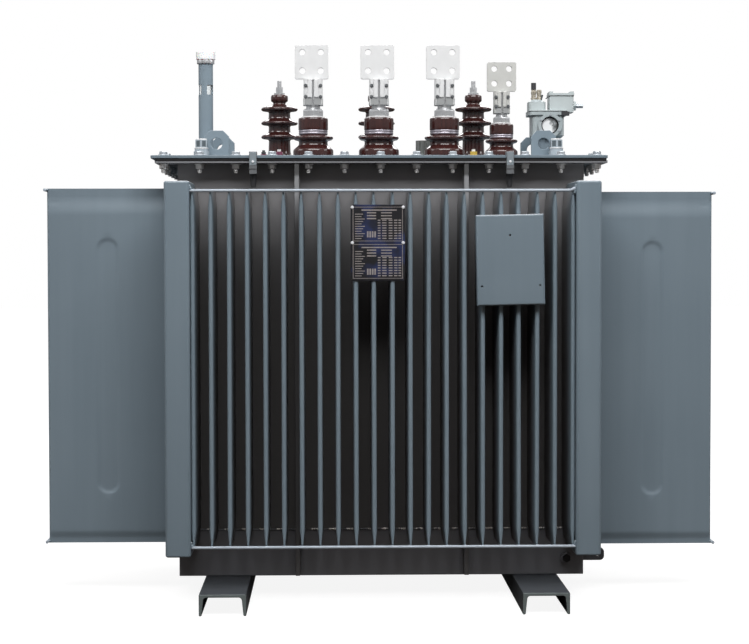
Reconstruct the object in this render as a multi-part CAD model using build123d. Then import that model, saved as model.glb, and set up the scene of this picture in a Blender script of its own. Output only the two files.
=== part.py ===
"""Sealed oil-immersed distribution transformer with corrugated cooling walls, as separate named solids.

Millimetres. X runs along the tank, the front with the plates faces -Y, Z is up.
The origin is on the ground under the middle of the tank.
"""

import os

from build123d import *

# Skids: two channels, legs down, that carry the tank.
skid_inset = 130.5
skid_web = 120.0
skid_height = 55.0
skid_web_thickness = 8.0
skid_root_thickness = 12.0
skid_tip_thickness = 7.0
skid_root_radius = 8.0
skid_toe_radius = 3.0
skid_overhang = 290.0

# Tank: floor, four corrugated walls, rim, gasket and cover.
tank_length = 1081.0
tank_width = 440.0
floor_thickness = 8.0
wall_thickness = 4.0
rim_thickness = 6.0
rim_overhang = 61.0
rim_end_overhang = 55.0
rim_width = 90.0
gasket_thickness = 7.0
gasket_setback = 2.0
gasket_width = 50.0
cover_thickness = 8.0
cover_end_lip = 7.0
cover_shift = 5.0
cover_corner_radius = 12.0

# Fins: folded sheet, pinched shut at the top and bottom ends.
fin_pitch = 46.5
fin_thickness = 12.0
fin_seam = 3.0
fin_nose = 3.5
front_fin_margin = 52.25
front_fin_depth = 195.0
front_fin_foot = 93.0
front_fin_height = 924.0
front_fin_head = 73.0
front_fin_pinch = 45.0
side_fin_margin = 57.25
side_fin_depth = 354.0
side_fin_foot = 70.0
side_fin_head = 67.0
side_fin_skew = 5.0
side_fin_pinch = 26.0
bead_width = 54.0
bead_depth = 3.0
bead_slope = 60.0
bead_length_share = 0.715
bead_centre_share = 0.545
rod_diameter = 8.0
rod_reach = 15.0

# Corner posts: folded sheet boxes beside the outermost front and rear fins.
post_clearance = 0.5
post_width = 65.5
post_stand = 14.0
post_sheet = 4.0
post_bend = 5.0
post_foot = 73.0
post_head = 52.0
post_cap = 8.0
post_cap_round = 6.0

# Tie bars: upright flats in two fin gaps of the front and rear walls.
tie_bar_fin_share = 0.2857
tie_bar_gap = 2.25
tie_bar_thickness = 12.0
tie_bar_depth = 58.0

# Low-voltage bushings, terminals and studs.
lv_spacing_share = 0.165
lv_shift = 3.0
neutral_offset_share = 0.3061
lv_inset = 115.0
lv_radius = 54.5
lv_height = 110.0
neutral_radius = 44.0
neutral_height = 92.8
lv_profile_shares = (
    (0, 0), (1, 0), (1, 0.2), (0.94, 0.236), (0.75, 0.31), (0.715, 0.345), (0.715, 0.425),
    (0.94, 0.455), (1, 0.5), (0.97, 0.535), (0.69, 0.568), (0.67, 0.585), (0.67, 0.685),
    (0.735, 0.7), (0.735, 0.975), (0.68, 1), (0, 1),
)
nut_flats_share = 0.98
nut_height_share = 0.215
nut_bevel_share = 0.06
stud_radius_share = 0.345
stem_height_share = 0.09
clamp_width_share = 0.955
clamp_depth_share = 0.9
clamp_height_share = 0.65
clamp_edge_share = 0.08
clamp_slit = 4.0
lv_palm = 91.0
lv_palm_shift = 4.0
neutral_palm = 79.0
neutral_palm_shift = 0.0
lv_palm_pitch = 50.0
neutral_palm_pitch = 40.0
palm_thickness = 12.0
palm_chamfer = 3.0
palm_hole_diameter = 16.0
palm_lift = 2.0

# High-voltage bushings and terminals.
hv_spacing_share = 0.2544
hv_shift = 4.0
hv_inset = 95.0
hv_radius = 52.5
hv_height = 192.0
hv_profile_shares = (
    (0, 0), (0.86, 0), (0.86, 0.06), (0.6, 0.12), (0.575, 0.34), (0.93, 0.352), (1, 0.375), (0.94, 0.4),
    (0.59, 0.435), (0.575, 0.545), (0.93, 0.556), (1, 0.578), (0.94, 0.602), (0.59, 0.638),
    (0.575, 0.75), (0.93, 0.76), (1, 0.784), (0.94, 0.808), (0.5, 0.845), (0.335, 0.86), (0.335, 0.885),
    (0.46, 0.905), (0.46, 0.975), (0.4, 1), (0, 1),
)
hv_stud_radius = 6.0
hv_stud_height = 39.0
hv_washer_radius = 15.0
hv_washer_height = 5.0
hv_nut_flats = 19.0
hv_nut_height = 16.0

# Filler pipe with sight windows, glass and cap.
filler_inset = 61.5
filler_radius = 20.0
filler_wall = 3.0
filler_height = 266.0
filler_foot_radius = 30.0
filler_foot_height = 10.0
window_low = 181.0
window_height = 27.0
window_strips = 3
window_width = 24.0
window_turn = 80.0
glass_overlap = 8.0
glass_wall = 3.0
filler_collar_radius = 23.5
filler_collar_height = 12.0
filler_cap_radius = 26.5
filler_cap_height = 24.0
filler_cap_round = 4.0

# Lifting lugs and screwed plugs on the cover.
lug_inset = 99.5
lug_setback = 75.0
lug_width = 67.0
lug_height = 73.0
lug_thickness = 12.0
lug_chamfer = 16.0
lug_hole_diameter = 31.0
lug_hole_height = 37.5
plug_inset = 64.5
plug_shift = 4.0
plug_setback = 42.0
plug_boss_radius = 20.5
plug_boss_height = 15.0
plug_neck_radius = 18.0
plug_neck_height = 9.0
plug_flats = 31.0
plug_height = 25.0
plug_bevel = 2.5

# Protection relay: pipe neck, body with a round window, head with valves, junction box with a gland.
relay_neck_radius = 38.0
relay_neck_height = 59.0
relay_neck_foot_radius = 44.0
relay_neck_foot_height = 9.0
relay_inset = 75.0
relay_width = 88.0
relay_depth = 90.0
relay_height = 122.5
relay_round = 10.0
relay_foot_chamfer = 8.0
relay_flange_width = 107.0
relay_flange_depth = 102.0
relay_flange_height = 9.0
relay_window_height = 94.0
relay_window_shift = 4.0
relay_ring_radius = 33.0
relay_ring_depth = 9.0
relay_glass_radius = 24.0
relay_glass_depth = 5.0
relay_head_width = 48.0
relay_head_depth = 52.0
relay_head_height = 29.0
relay_head_inset = 1.0
relay_dome_radius = 23.5
relay_dome_top = 15.0
relay_dome_height = 7.0
relay_stem_radius = 6.3
relay_stem_height = 28.0
relay_knob_radius = 7.0
relay_knob_height = 19.0
relay_stem_spacing = 15.0
box_width = 67.0
box_depth = 62.0
box_height = 46.0
box_round = 5.0
box_start = 5.0
box_lid_height = 6.5
box_lid_lip = 1.5
box_lid_bar = 10.0
box_lid_rise = 4.5
gland_radius = 6.0
gland_length = 20.0
gland_nut_flats = 24.0
gland_nut_length = 9.0
gland_height_share = 0.42

# Tap changer cap.
tap_offset_share = 0.1156
tap_row = 40.0
tap_radius = 21.5
tap_height = 50.0
tap_base_radius = 26.0
tap_base_height = 7.0
tap_flutes = 12
tap_flute_radius = 3.0
tap_flute_low = 6.0

# Plates, boss, clamps, studs and side lug.
plate_shift = 14.0
plate_drop = 137.5
plate_width = 139.0
plate_height = 195.0
plate_thickness = 3.0
plate_corner = 6.0
tray_inset = 216.0
tray_drop = 182.0
tray_tilt = 1.2
tray_width = 174.0
tray_height = 232.0
tray_depth = 25.0
tray_sheet = 3.0
tray_round = 5.0
tray_hole_circle = 172.0
tray_hole_count = 3
tray_hole_start = 90.0
tray_hole_diameter = 5.5
tray_hole_drop = 23.0
drain_inset = 46.5
drain_rise = 37.0
drain_radius = 15.5
drain_length = 16.0
drain_flats = 19.0
drain_head = 8.0
clip_inset = 202.5
clip_width = 20.0
clip_spine = 8.0
clip_jaw = 9.0
clip_reach = 34.0
clip_drop = 20.0
clip_screw_radius = 6.0
clip_screw_tail = 34.0
stud_left_inset = 269.5
stud_right_inset = 294.5
stud_setback = 2.0
stud_washer_radius = 11.0
stud_washer_height = 3.0
stud_nut_flats = 18.0
stud_nut_height = 9.0
stud_radius = 5.0
stud_height = 18.0
side_lug_setback = 42.0
side_lug_reach = 62.0
side_lug_rise = 23.0
side_lug_height = 34.0
side_lug_thickness = 10.0
side_lug_hole_diameter = 13.0
side_lug_round = 12.0

# Levels and edges that follow from the sizes above.
wall_height = front_fin_foot + front_fin_height + front_fin_head
side_fin_height = wall_height - side_fin_foot - side_fin_head
post_height = wall_height - post_foot - post_head
floor_top = skid_height + floor_thickness
wall_top = floor_top + wall_height
rim_top = wall_top + rim_thickness
cover_bottom = rim_top + gasket_thickness
cover_top = cover_bottom + cover_thickness
half_length = tank_length / 2
half_width = tank_width / 2
lv_spacing = tank_length * lv_spacing_share
neutral_offset = tank_length * neutral_offset_share
hv_spacing = tank_length * hv_spacing_share
tap_offset = tank_length * tap_offset_share
rim_length = tank_length + 2 * rim_end_overhang
cover_length = rim_length + 2 * cover_end_lip
cover_width = tank_width + 2 * rim_overhang
nose_plane = half_width + front_fin_depth
fin_top = floor_top + front_fin_foot + front_fin_height
front_span = tank_length - 2 * front_fin_margin
side_span = tank_width - 2 * side_fin_margin
front_fin_count = 1 + round(front_span / fin_pitch)
side_fin_count = 1 + round(side_span / fin_pitch)
post_inner = front_span / 2 + fin_thickness / 2 + post_clearance
post_outer = post_inner + post_width
post_front = nose_plane + post_stand
post_rear = side_span / 2 + fin_thickness / 2
standing = (Align.CENTER, Align.CENTER, Align.MIN)


def save(name, shape):
    """Write one node as a STEP file."""
    export_step(Compound(children=list(shape.solids())), os.path.join("parts", name + ".step"))


def turned(shares, radius, height):
    """Solid of revolution about Z from a table of radius and height shares."""
    points = [(r * radius, z * height) for r, z in shares]
    return revolve(Plane.XZ * make_face(Polyline(*points, close=True)), Axis.Z)


def hexagon(flats, height):
    """Hexagonal prism standing on its base, a corner to the front."""
    return extrude(RegularPolygon(flats / 2, 6, major_radius=False, rotation=30), height)


def drum(radius, height):
    """Cylinder standing on its base."""
    return Cylinder(radius, height, align=standing)


def skid():
    """Channel with its web up and tapered flanges down, running front to back."""
    half = skid_web / 2
    under = skid_height - skid_web_thickness
    outline = make_face(Polyline(
        (-half, 0), (-half, skid_height), (half, skid_height), (half, 0),
        (half - skid_tip_thickness, 0), (half - skid_root_thickness, under),
        (skid_root_thickness - half, under), (skid_tip_thickness - half, 0), close=True))
    roots = [v for v in outline.vertices() if abs(v.Y - under) < skid_tip_thickness / 2]
    outline = fillet(roots, skid_root_radius)
    inside = half - skid_toe_radius
    toes = [v for v in outline.vertices() if v.Y < skid_tip_thickness / 2 and abs(v.X) < inside]
    outline = fillet(toes, skid_toe_radius)
    length = tank_width + 2 * skid_overhang
    return Pos(0, length / 2, 0) * extrude(Plane.XZ * outline, length)


def fin(depth, height, pinch):
    """One fin with its root on y = 0, its nose forward and both ends pinched to a seam."""
    half = fin_thickness / 2
    seam = fin_seam / 2
    outline = Polyline(
        (-half, pinch), (-seam, 0), (seam, 0), (half, pinch),
        (half, height - pinch), (seam, height), (-seam, height), (-half, height - pinch), close=True)
    body = extrude(Plane.XZ * make_face(outline), depth)
    plan = Polyline(
        (-half, 0), (half, 0), (half, fin_nose - depth), (half - fin_nose, -depth),
        (fin_nose - half, -depth), (-half, fin_nose - depth), close=True)
    return body & extrude(make_face(plan), height)


def beaded(body, depth, height):
    """Press a long shallow bead into both faces of a fin."""
    start = Plane(
        origin=(fin_thickness / 2, -depth * bead_centre_share, height / 2),
        x_dir=(0, 0, 1), z_dir=(-1, 0, 0))
    slot = SlotOverall(height * bead_length_share, bead_width)
    press = extrude(start * slot, bead_depth, taper=bead_slope)
    return body - press - mirror(press, Plane.YZ)


def corrugated_wall(length, span, count, one_fin, foot):
    """Wall plate, outer face on y = 0, with its row of fins."""
    plate = Box(length, wall_thickness, wall_height, align=(Align.CENTER, Align.MIN, Align.MIN))
    step = span / (count - 1)
    row = [Pos(i * step - span / 2, 0, foot) * one_fin for i in range(count)]
    return plate + row


def post_plan(inset, rounding):
    """Plan of the front right post, set in from its sheet faces and open to the walls behind it."""
    near = post_inner + inset
    far = post_outer - inset
    front = inset - post_front
    plan = make_face(Polyline(
        (near, -half_width), (near, front), (far, front),
        (far, -post_rear), (half_length, -post_rear), (half_length, -half_width), close=True))
    return fillet([v for v in plan.vertices() if v.Y < -nose_plane], rounding)


def corner_post():
    """Folded sheet box at the front right corner with rounded ends."""
    body = extrude(post_plan(0, post_bend + post_sheet), post_height)
    for end in (0, -1):
        rim = body.faces().sort_by(Axis.Z)[end].edges()
        body = fillet([e for e in rim if e.center().Y < -nose_plane], post_cap_round)
    hollow = extrude(post_plan(post_sheet, post_bend), post_height - 2 * post_cap)
    return body - Pos(0, 0, post_cap) * hollow


def rods():
    """Round tie rods along the fin ends of all four walls."""
    solids = []
    radius = rod_diameter / 2
    for side in (-1, 1):
        for z in (front_fin_foot + radius, front_fin_foot + front_fin_height - radius):
            place = Pos(0, side * (nose_plane + radius), floor_top + z)
            solids.append(place * Rot(0, 90, 0) * Cylinder(radius, 2 * post_inner))
        for z in (side_fin_foot + radius, side_fin_foot + side_fin_height - radius):
            level = floor_top + z - side * side_fin_skew
            place = Pos(side * (half_length + side_fin_depth + radius), 0, level)
            reach = side_span + fin_thickness + 2 * rod_reach
            solids.append(place * Rot(90, 0, 0) * Cylinder(radius, reach))
    return Compound(children=solids)


def tie_bars():
    """Upright flats from the floor edge to the rim, front and rear."""
    step = front_span / (front_fin_count - 1)
    beside = front_span / 2 - round(tie_bar_fin_share * (front_fin_count - 1)) * step
    x = beside + fin_thickness / 2 + tie_bar_gap + tie_bar_thickness / 2
    flat = Box(tie_bar_thickness, tie_bar_depth, wall_height, align=standing)
    y = half_width + tie_bar_depth / 2
    return Compound(children=[Pos(i * x, j * y, floor_top) * flat for i in (-1, 1) for j in (-1, 1)])


def gasket():
    """Flat ring between the rim and the cover."""
    length = rim_length - 2 * gasket_setback
    width = cover_width - 2 * gasket_setback
    inner = Rectangle(length - 2 * gasket_width, width - 2 * gasket_width)
    return extrude(Rectangle(length, width) - inner, gasket_thickness)


def stud(height, radius):
    """Nut, stem and threaded end of a low-voltage bushing, from the top of its porcelain."""
    nut = hexagon(radius * nut_flats_share, height * nut_height_share)
    nut = chamfer(nut.edges().group_by(Axis.Z)[-1], radius * nut_bevel_share)
    length = height * (nut_height_share + stem_height_share + clamp_height_share)
    return nut + drum(radius * stud_radius_share, length)


def terminal(height, radius, palm, shift, pitch):
    """Split clamp with a four-hole palm above it, a little to the left, from the underside of the clamp."""
    clamp_width = radius * clamp_width_share
    clamp_depth = radius * clamp_depth_share
    clamp_height = height * clamp_height_share
    block = Box(clamp_width, clamp_depth, clamp_height, align=standing)
    block = chamfer(block.edges().filter_by(Axis.Z), radius * clamp_edge_share)
    block -= drum(radius * stud_radius_share, clamp_height)
    split_height = clamp_height - clamp_slit
    block -= Box(clamp_slit, clamp_depth, split_height, align=(Align.CENTER, Align.MAX, Align.MIN))
    flag = Pos(-shift, 0, clamp_height) * Box(palm, palm_thickness, palm, align=standing)
    flag = chamfer(flag.edges().filter_by(Axis.Y), palm_chamfer)
    level = clamp_height + palm / 2 + palm_lift
    hole = Rot(90, 0, 0) * Cylinder(palm_hole_diameter / 2, palm)
    half = pitch / 2
    holes = [Pos(i * half - shift, 0, level + j * half) * hole for i in (-1, 1) for j in (-1, 1)]
    return block + flag - holes


def hv_terminal():
    """Washer, nuts and threaded end on a high-voltage bushing."""
    nut = Pos(0, 0, hv_washer_height) * hexagon(hv_nut_flats, hv_nut_height)
    return drum(hv_washer_radius, hv_washer_height) + nut + drum(hv_stud_radius, hv_stud_height)


def filler_pipe():
    """Pipe on a foot ring with sight windows cut through its wall."""
    pipe = drum(filler_radius, filler_height) + drum(filler_foot_radius, filler_foot_height)
    pipe -= drum(filler_radius - filler_wall, filler_height)
    cutter = Box(filler_radius, window_width, window_height, align=(Align.MIN, Align.CENTER, Align.MIN))
    turn = 360 / window_strips
    for i in range(window_strips):
        pipe -= Rot(0, 0, window_turn + i * turn) * Pos(0, 0, window_low) * cutter
    return pipe


def sight_glass():
    """Glass tube behind the sight windows."""
    outer = filler_radius - filler_wall
    tube = drum(outer, window_height + 2 * glass_overlap)
    return tube - drum(outer - glass_wall, window_height + 2 * glass_overlap)


def filler_cap():
    """Collar and rounded cap on the filler pipe."""
    cap = Pos(0, 0, filler_collar_height) * drum(filler_cap_radius, filler_cap_height)
    cap = fillet(cap.edges().group_by(Axis.Z)[-1], filler_cap_round)
    return drum(filler_collar_radius, filler_collar_height) + cap


def lug():
    """Lifting plate with two cut corners and a hole."""
    plate = Box(lug_width, lug_thickness, lug_height, align=standing)
    plate = chamfer(plate.edges().filter_by(Axis.Y).group_by(Axis.Z)[-1], lug_chamfer)
    hole = Rot(90, 0, 0) * Cylinder(lug_hole_diameter / 2, lug_height)
    return plate - Pos(0, 0, lug_hole_height) * hole


def screwed_plug():
    """Hexagon plug on a stepped boss."""
    neck = Pos(0, 0, plug_boss_height) * drum(plug_neck_radius, plug_neck_height)
    head = hexagon(plug_flats, plug_height)
    head = chamfer(head.edges().group_by(Axis.Z)[-1], plug_bevel)
    head = Pos(0, 0, plug_boss_height + plug_neck_height) * head
    return drum(plug_boss_radius, plug_boss_height) + neck + head


def relay_neck():
    """Pipe with a foot ring that carries the relay."""
    return drum(relay_neck_radius, relay_neck_height) + drum(relay_neck_foot_radius, relay_neck_foot_height)


def relay_body():
    """Rounded body cut back at its foot, top flange and the ring that holds the window."""
    body = Box(relay_width, relay_depth, relay_height - relay_neck_height, align=standing)
    body = fillet(body.edges().filter_by(Axis.Z), relay_round)
    body = chamfer(body.edges().group_by(Axis.Z)[0], relay_foot_chamfer)
    flange = Box(relay_flange_width, relay_flange_depth, relay_flange_height, align=standing)
    flange = fillet(flange.edges().filter_by(Axis.Z), relay_round)
    ring = Rot(90, 0, 0) * drum(relay_ring_radius, relay_depth / 2 + relay_ring_depth)
    seat = Rot(90, 0, 0) * drum(relay_glass_radius, relay_glass_depth + relay_ring_depth)
    place = Pos(relay_window_shift, 0, relay_window_height)
    whole = Pos(0, 0, relay_neck_height) * body + Pos(0, 0, relay_height) * flange + place * ring
    return whole - place * Pos(0, -relay_depth / 2 + relay_glass_depth, 0) * seat


def relay_glass():
    """Window disc at the bottom of its seat."""
    return Rot(90, 0, 0) * drum(relay_glass_radius, relay_glass_depth)


def relay_head():
    """Small block with a tapered top, two valve stems and one capped knob."""
    block = Box(relay_head_width, relay_head_depth, relay_head_height, align=standing)
    block = fillet(block.edges().filter_by(Axis.Z), relay_round)
    dome = Pos(0, 0, relay_head_height) * Cone(
        relay_dome_radius, relay_dome_top, relay_dome_height, align=standing)
    low = relay_head_height + relay_dome_height
    shift = relay_stem_spacing / 2
    stems = [Pos(i * shift, 0, low) * drum(relay_stem_radius, relay_stem_height) for i in (-1, 1)]
    knob = Pos(-shift, 0, low + relay_stem_height) * drum(relay_knob_radius, relay_knob_height)
    return block + dome + stems + knob


def junction_box():
    """Box with an overhanging lid, raised at its ends, and a cable gland on its outer end."""
    box = Box(box_width, box_depth, box_height, align=standing)
    box = fillet(box.edges().filter_by(Axis.Z), box_round)
    lid = Box(box_width + 2 * box_lid_lip, box_depth + 2 * box_lid_lip, box_lid_height, align=standing)
    lid = fillet(lid.edges().filter_by(Axis.Z), box_round)
    raised = Box(box_lid_bar, box_depth, box_lid_rise, align=standing)
    bar_x = (box_width - box_lid_bar) / 2
    lid += [Pos(side * bar_x, 0, box_lid_height) * raised for side in (-1, 1)]
    turn = Pos(box_width / 2, 0, box_height * gland_height_share) * Rot(0, 90, 0)
    gland = hexagon(gland_nut_flats, gland_nut_length) + drum(gland_radius, gland_nut_length + gland_length)
    return box + Pos(0, 0, box_height) * lid + turn * gland


def tap_cap():
    """Fluted cap on a round base."""
    cap = drum(tap_radius, tap_height)
    flute = Pos(tap_radius, 0, tap_flute_low) * drum(tap_flute_radius, tap_height)
    cap -= [Rot(0, 0, i * 360 / tap_flutes) * flute for i in range(tap_flutes)]
    return drum(tap_base_radius, tap_base_height) + Pos(0, 0, tap_base_height) * cap


def rating_plate():
    """Flat plate with cut corners that lies on the fin noses."""
    plate = Box(plate_width, plate_thickness, plate_height, align=(Align.CENTER, Align.MAX, Align.CENTER))
    return chamfer(plate.edges().filter_by(Axis.Y), plate_corner)


def instrument_tray():
    """Folded sheet tray, open to the fins, with three holes on a circle for a dial instrument."""
    tray = Box(tray_width, tray_depth, tray_height, align=(Align.CENTER, Align.MAX, Align.CENTER))
    rims = tray.faces().sort_by(Axis.Y)[0].edges()
    tray = fillet(rims, tray_round)
    tray -= Box(
        tray_width - 2 * tray_sheet, tray_depth - tray_sheet, tray_height - 2 * tray_sheet,
        align=(Align.CENTER, Align.MAX, Align.CENTER))
    hole = Rot(90, 0, 0) * Cylinder(tray_hole_diameter / 2, 2 * tray_depth)
    spots = PolarLocations(tray_hole_circle / 2, tray_hole_count, start_angle=tray_hole_start)
    for spot in spots:
        tray -= Pos(spot.position.X, -tray_depth, spot.position.Y - tray_hole_drop) * hole
    return tray


def drain_plug():
    """Round boss with a hexagon head, pointing forward."""
    return Rot(90, 0, 0) * (drum(drain_radius, drain_length)
                            + Pos(0, 0, drain_length) * hexagon(drain_flats, drain_head))


def clip():
    """C clamp over the cover edge with its screw up against the rim, spine at the front."""
    height = cover_top - wall_top + clip_drop + 2 * clip_jaw
    low = wall_top - clip_drop - clip_jaw
    spine = Box(clip_width, clip_spine, height, align=(Align.CENTER, Align.MAX, Align.MIN))
    jaw = Box(clip_width, clip_reach, clip_jaw, align=(Align.CENTER, Align.MIN, Align.MIN))
    body = Pos(0, 0, low) * spine + Pos(0, 0, low) * jaw + Pos(0, 0, cover_top) * jaw
    screw = Pos(0, clip_reach / 2, low - clip_screw_tail)
    return body + screw * drum(clip_screw_radius, clip_screw_tail + clip_jaw + clip_drop)


def earth_stud():
    """Washer, nut and stud on the cover."""
    nut = Pos(0, 0, stud_washer_height) * hexagon(stud_nut_flats, stud_nut_height)
    return drum(stud_washer_radius, stud_washer_height) + nut + drum(stud_radius, stud_height)


def side_lug():
    """Earthing plate on the foot of the right wall."""
    plate = Box(
        side_lug_reach, side_lug_thickness, side_lug_height, align=(Align.MIN, Align.CENTER, Align.MIN))
    plate = fillet(plate.edges().filter_by(Axis.Y).group_by(Axis.X)[-1], side_lug_round)
    hole = Rot(90, 0, 0) * Cylinder(side_lug_hole_diameter / 2, side_lug_height)
    return plate - Pos(side_lug_reach - side_lug_height / 2, 0, side_lug_height / 2) * hole


os.makedirs("parts", exist_ok=True)

for side, name in ((-1, "left"), (1, "right")):
    save("skid_channel_" + name, Pos(side * (half_length - skid_inset), 0, 0) * skid())

save("tank_floor", Pos(0, 0, skid_height) * Box(tank_length, tank_width, floor_thickness, align=standing))
front_fin = fin(front_fin_depth, front_fin_height, front_fin_pinch)
front_wall = corrugated_wall(tank_length, front_span, front_fin_count, front_fin, front_fin_foot)
side_fin = beaded(fin(side_fin_depth, side_fin_height, side_fin_pinch), side_fin_depth, side_fin_height)
inner_width = tank_width - 2 * wall_thickness
for turn, name in ((0, "front"), (180, "rear")):
    save(name + "_fin_wall", Rot(0, 0, turn) * Pos(0, -half_width, floor_top) * front_wall)
for turn, name, skew in ((-90, "left", side_fin_skew), (90, "right", -side_fin_skew)):
    side_wall = corrugated_wall(inner_width, side_span, side_fin_count, side_fin, side_fin_foot + skew)
    save(name + "_fin_wall", Rot(0, 0, turn) * Pos(0, -half_length, floor_top) * side_wall)

post = Pos(0, 0, floor_top + post_foot) * corner_post()
front_posts = [post, mirror(post, Plane.YZ)]
rear_posts = [Rot(0, 0, 180) * one for one in front_posts]
save("corner_posts", Compound(children=front_posts + rear_posts))
save("fin_rods", rods())
save("tie_bars", tie_bars())

edge = (Align.CENTER, Align.MIN, Align.MIN)
long_bar = Box(rim_length, rim_width, rim_thickness, align=edge)
short_bar = Box(cover_width - 2 * rim_width, rim_width, rim_thickness, align=edge)
bars = [Rot(0, 0, turn) * Pos(0, -cover_width / 2, wall_top) * long_bar for turn in (0, 180)]
bars += [Rot(0, 0, turn) * Pos(0, -rim_length / 2, wall_top) * short_bar for turn in (-90, 90)]
save("rim_bars", Compound(children=bars))
save("cover_gasket", Pos(0, 0, rim_top) * gasket())
cover = extrude(RectangleRounded(cover_length, cover_width, cover_corner_radius), cover_thickness)
save("cover_plate", Pos(-cover_shift, 0, cover_bottom) * cover)

studs = []
lv_flag = (lv_palm, lv_palm_shift, lv_palm_pitch)
neutral_flag = (neutral_palm, neutral_palm_shift, neutral_palm_pitch)
lv_places = [
    ("lv_" + str(i + 1), (i - 1) * lv_spacing - lv_shift, lv_height, lv_radius, lv_flag) for i in range(3)]
lv_places.append(("neutral", neutral_offset, neutral_height, neutral_radius, neutral_flag))
for name, x, height, radius, flag in lv_places:
    base = Pos(x, lv_inset - half_width, cover_top)
    save(name + "_bushing", base * turned(lv_profile_shares, radius, height))
    studs.append(base * Pos(0, 0, height) * stud(height, radius))
    seat = height * (1 + nut_height_share + stem_height_share)
    save(name + "_terminal", base * Pos(0, 0, seat) * terminal(height, radius, *flag))
save("lv_studs", Compound(children=studs))
ends = []
for i in range(3):
    base = Pos((i - 1) * hv_spacing - hv_shift, half_width - hv_inset, cover_top)
    save("hv_" + str(i + 1) + "_bushing", base * turned(hv_profile_shares, hv_radius, hv_height))
    ends.append(base * Pos(0, 0, hv_height) * hv_terminal())
save("hv_terminals", Compound(children=ends))

filler = Pos(filler_inset - half_length, 0, cover_top)
save("filler_pipe", filler * filler_pipe())
save("filler_sight_glass", filler * Pos(0, 0, window_low - glass_overlap) * sight_glass())
save("filler_cap", filler * Pos(0, 0, filler_height) * filler_cap())
lug_x = half_length - lug_inset
lug_y = half_width - lug_setback
corners = [(i * lug_x, j * lug_y) for i in (-1, 1) for j in (-1, 1)]
save("lifting_lugs", Compound(children=[Pos(x, y, cover_top) * lug() for x, y in corners]))
plug_x = half_length - plug_inset
save("cover_plugs", Compound(children=[
    Pos(side * plug_x - plug_shift, plug_setback - half_width, cover_top) * screwed_plug()
    for side in (-1, 1)]))

relay = Pos(half_length - relay_inset, 0, cover_top)
relay_top = relay_height + relay_flange_height
save("relay_neck", relay * relay_neck())
save("relay_body", relay * relay_body())
glass_place = Pos(relay_window_shift, -relay_depth / 2 + relay_glass_depth, relay_window_height)
save("relay_window", relay * glass_place * relay_glass())
head_x = relay_head_inset + relay_head_width / 2 - relay_flange_width / 2
save("relay_head", relay * Pos(head_x, 0, relay_top) * relay_head())
save("junction_box", relay * Pos(box_start + box_width / 2, 0, relay_top) * junction_box())
save("tap_changer_cap", Pos(tap_offset, tap_row, cover_top) * tap_cap())
save("cover_earth_studs", Compound(children=[
    Pos(x, -half_width - stud_setback, cover_top) * earth_stud()
    for x in (stud_left_inset - half_length, half_length - stud_right_inset)]))

save("rating_plate", Pos(-plate_shift, -nose_plane, fin_top - plate_drop) * rating_plate())
tray_place = Pos(half_length - tray_inset, -nose_plane, fin_top - tray_drop) * Rot(0, -tray_tilt, 0)
save("instrument_tray", tray_place * instrument_tray())
save("drain_plug", Pos(half_length - drain_inset, -half_width, floor_top + drain_rise) * drain_plug())
clip_x = half_length - clip_inset
front_clips = [Pos(i * clip_x, -cover_width / 2, 0) * clip() for i in (-1, 1)]
save("cover_clips", Compound(children=front_clips))
side_lug_place = Pos(half_length, side_lug_setback - half_width, floor_top + side_lug_rise)
save("side_earth_lug", side_lug_place * side_lug())
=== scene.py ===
"""Looks of a sealed oil-immersed distribution transformer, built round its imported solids. Metres, Z up."""

import math

import bmesh
import bpy
from mathutils import Matrix, Vector


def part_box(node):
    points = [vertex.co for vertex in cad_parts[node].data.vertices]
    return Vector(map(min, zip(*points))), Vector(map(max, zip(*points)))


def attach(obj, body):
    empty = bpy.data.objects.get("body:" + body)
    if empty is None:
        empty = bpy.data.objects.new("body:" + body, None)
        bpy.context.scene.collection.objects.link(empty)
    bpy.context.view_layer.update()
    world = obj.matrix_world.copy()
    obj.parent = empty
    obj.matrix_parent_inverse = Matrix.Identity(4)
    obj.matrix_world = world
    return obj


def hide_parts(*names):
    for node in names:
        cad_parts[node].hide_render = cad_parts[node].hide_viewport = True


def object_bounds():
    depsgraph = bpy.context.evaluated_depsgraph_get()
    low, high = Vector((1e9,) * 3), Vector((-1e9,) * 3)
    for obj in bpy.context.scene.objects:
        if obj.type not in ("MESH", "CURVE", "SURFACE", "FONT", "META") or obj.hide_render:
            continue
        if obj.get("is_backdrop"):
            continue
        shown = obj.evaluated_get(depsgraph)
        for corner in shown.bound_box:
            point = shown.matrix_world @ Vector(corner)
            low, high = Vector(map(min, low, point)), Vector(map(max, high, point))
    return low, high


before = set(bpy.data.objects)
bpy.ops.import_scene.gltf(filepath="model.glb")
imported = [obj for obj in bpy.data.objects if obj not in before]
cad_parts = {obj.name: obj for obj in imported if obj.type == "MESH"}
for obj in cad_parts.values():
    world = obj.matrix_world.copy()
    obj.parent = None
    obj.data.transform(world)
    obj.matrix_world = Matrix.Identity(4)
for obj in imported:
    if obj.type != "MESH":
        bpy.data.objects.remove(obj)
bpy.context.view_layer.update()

# Skids: two hot-rolled steel channels laid legs down from front to back and welded under the tank floor.
# They are painted a darker grey than the tank, and rolling leaves their edges soft. Their end faces take a
# paler grey: painted light on the faces that look forward and back.


def feed(tree, node, inputs):
    """Give a node its inputs: one given as a socket is linked, any other value is set."""
    for key, value in inputs.items():
        if isinstance(value, bpy.types.NodeSocket):
            tree.links.new(value, node.inputs[key])
        else:
            node.inputs[key].default_value = value


def put(tree, kind, inputs=None, **settings):
    """Add one node with its settings and inputs."""
    made = tree.nodes.new(kind)
    for key, value in settings.items():
        setattr(made, key, value)
    feed(tree, made, inputs or {})
    return made


def maths(tree, operation, *values):
    """Result of one sum on values, each a number or a socket."""
    return put(tree, "ShaderNodeMath", dict(enumerate(values)), operation=operation).outputs[0]


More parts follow.
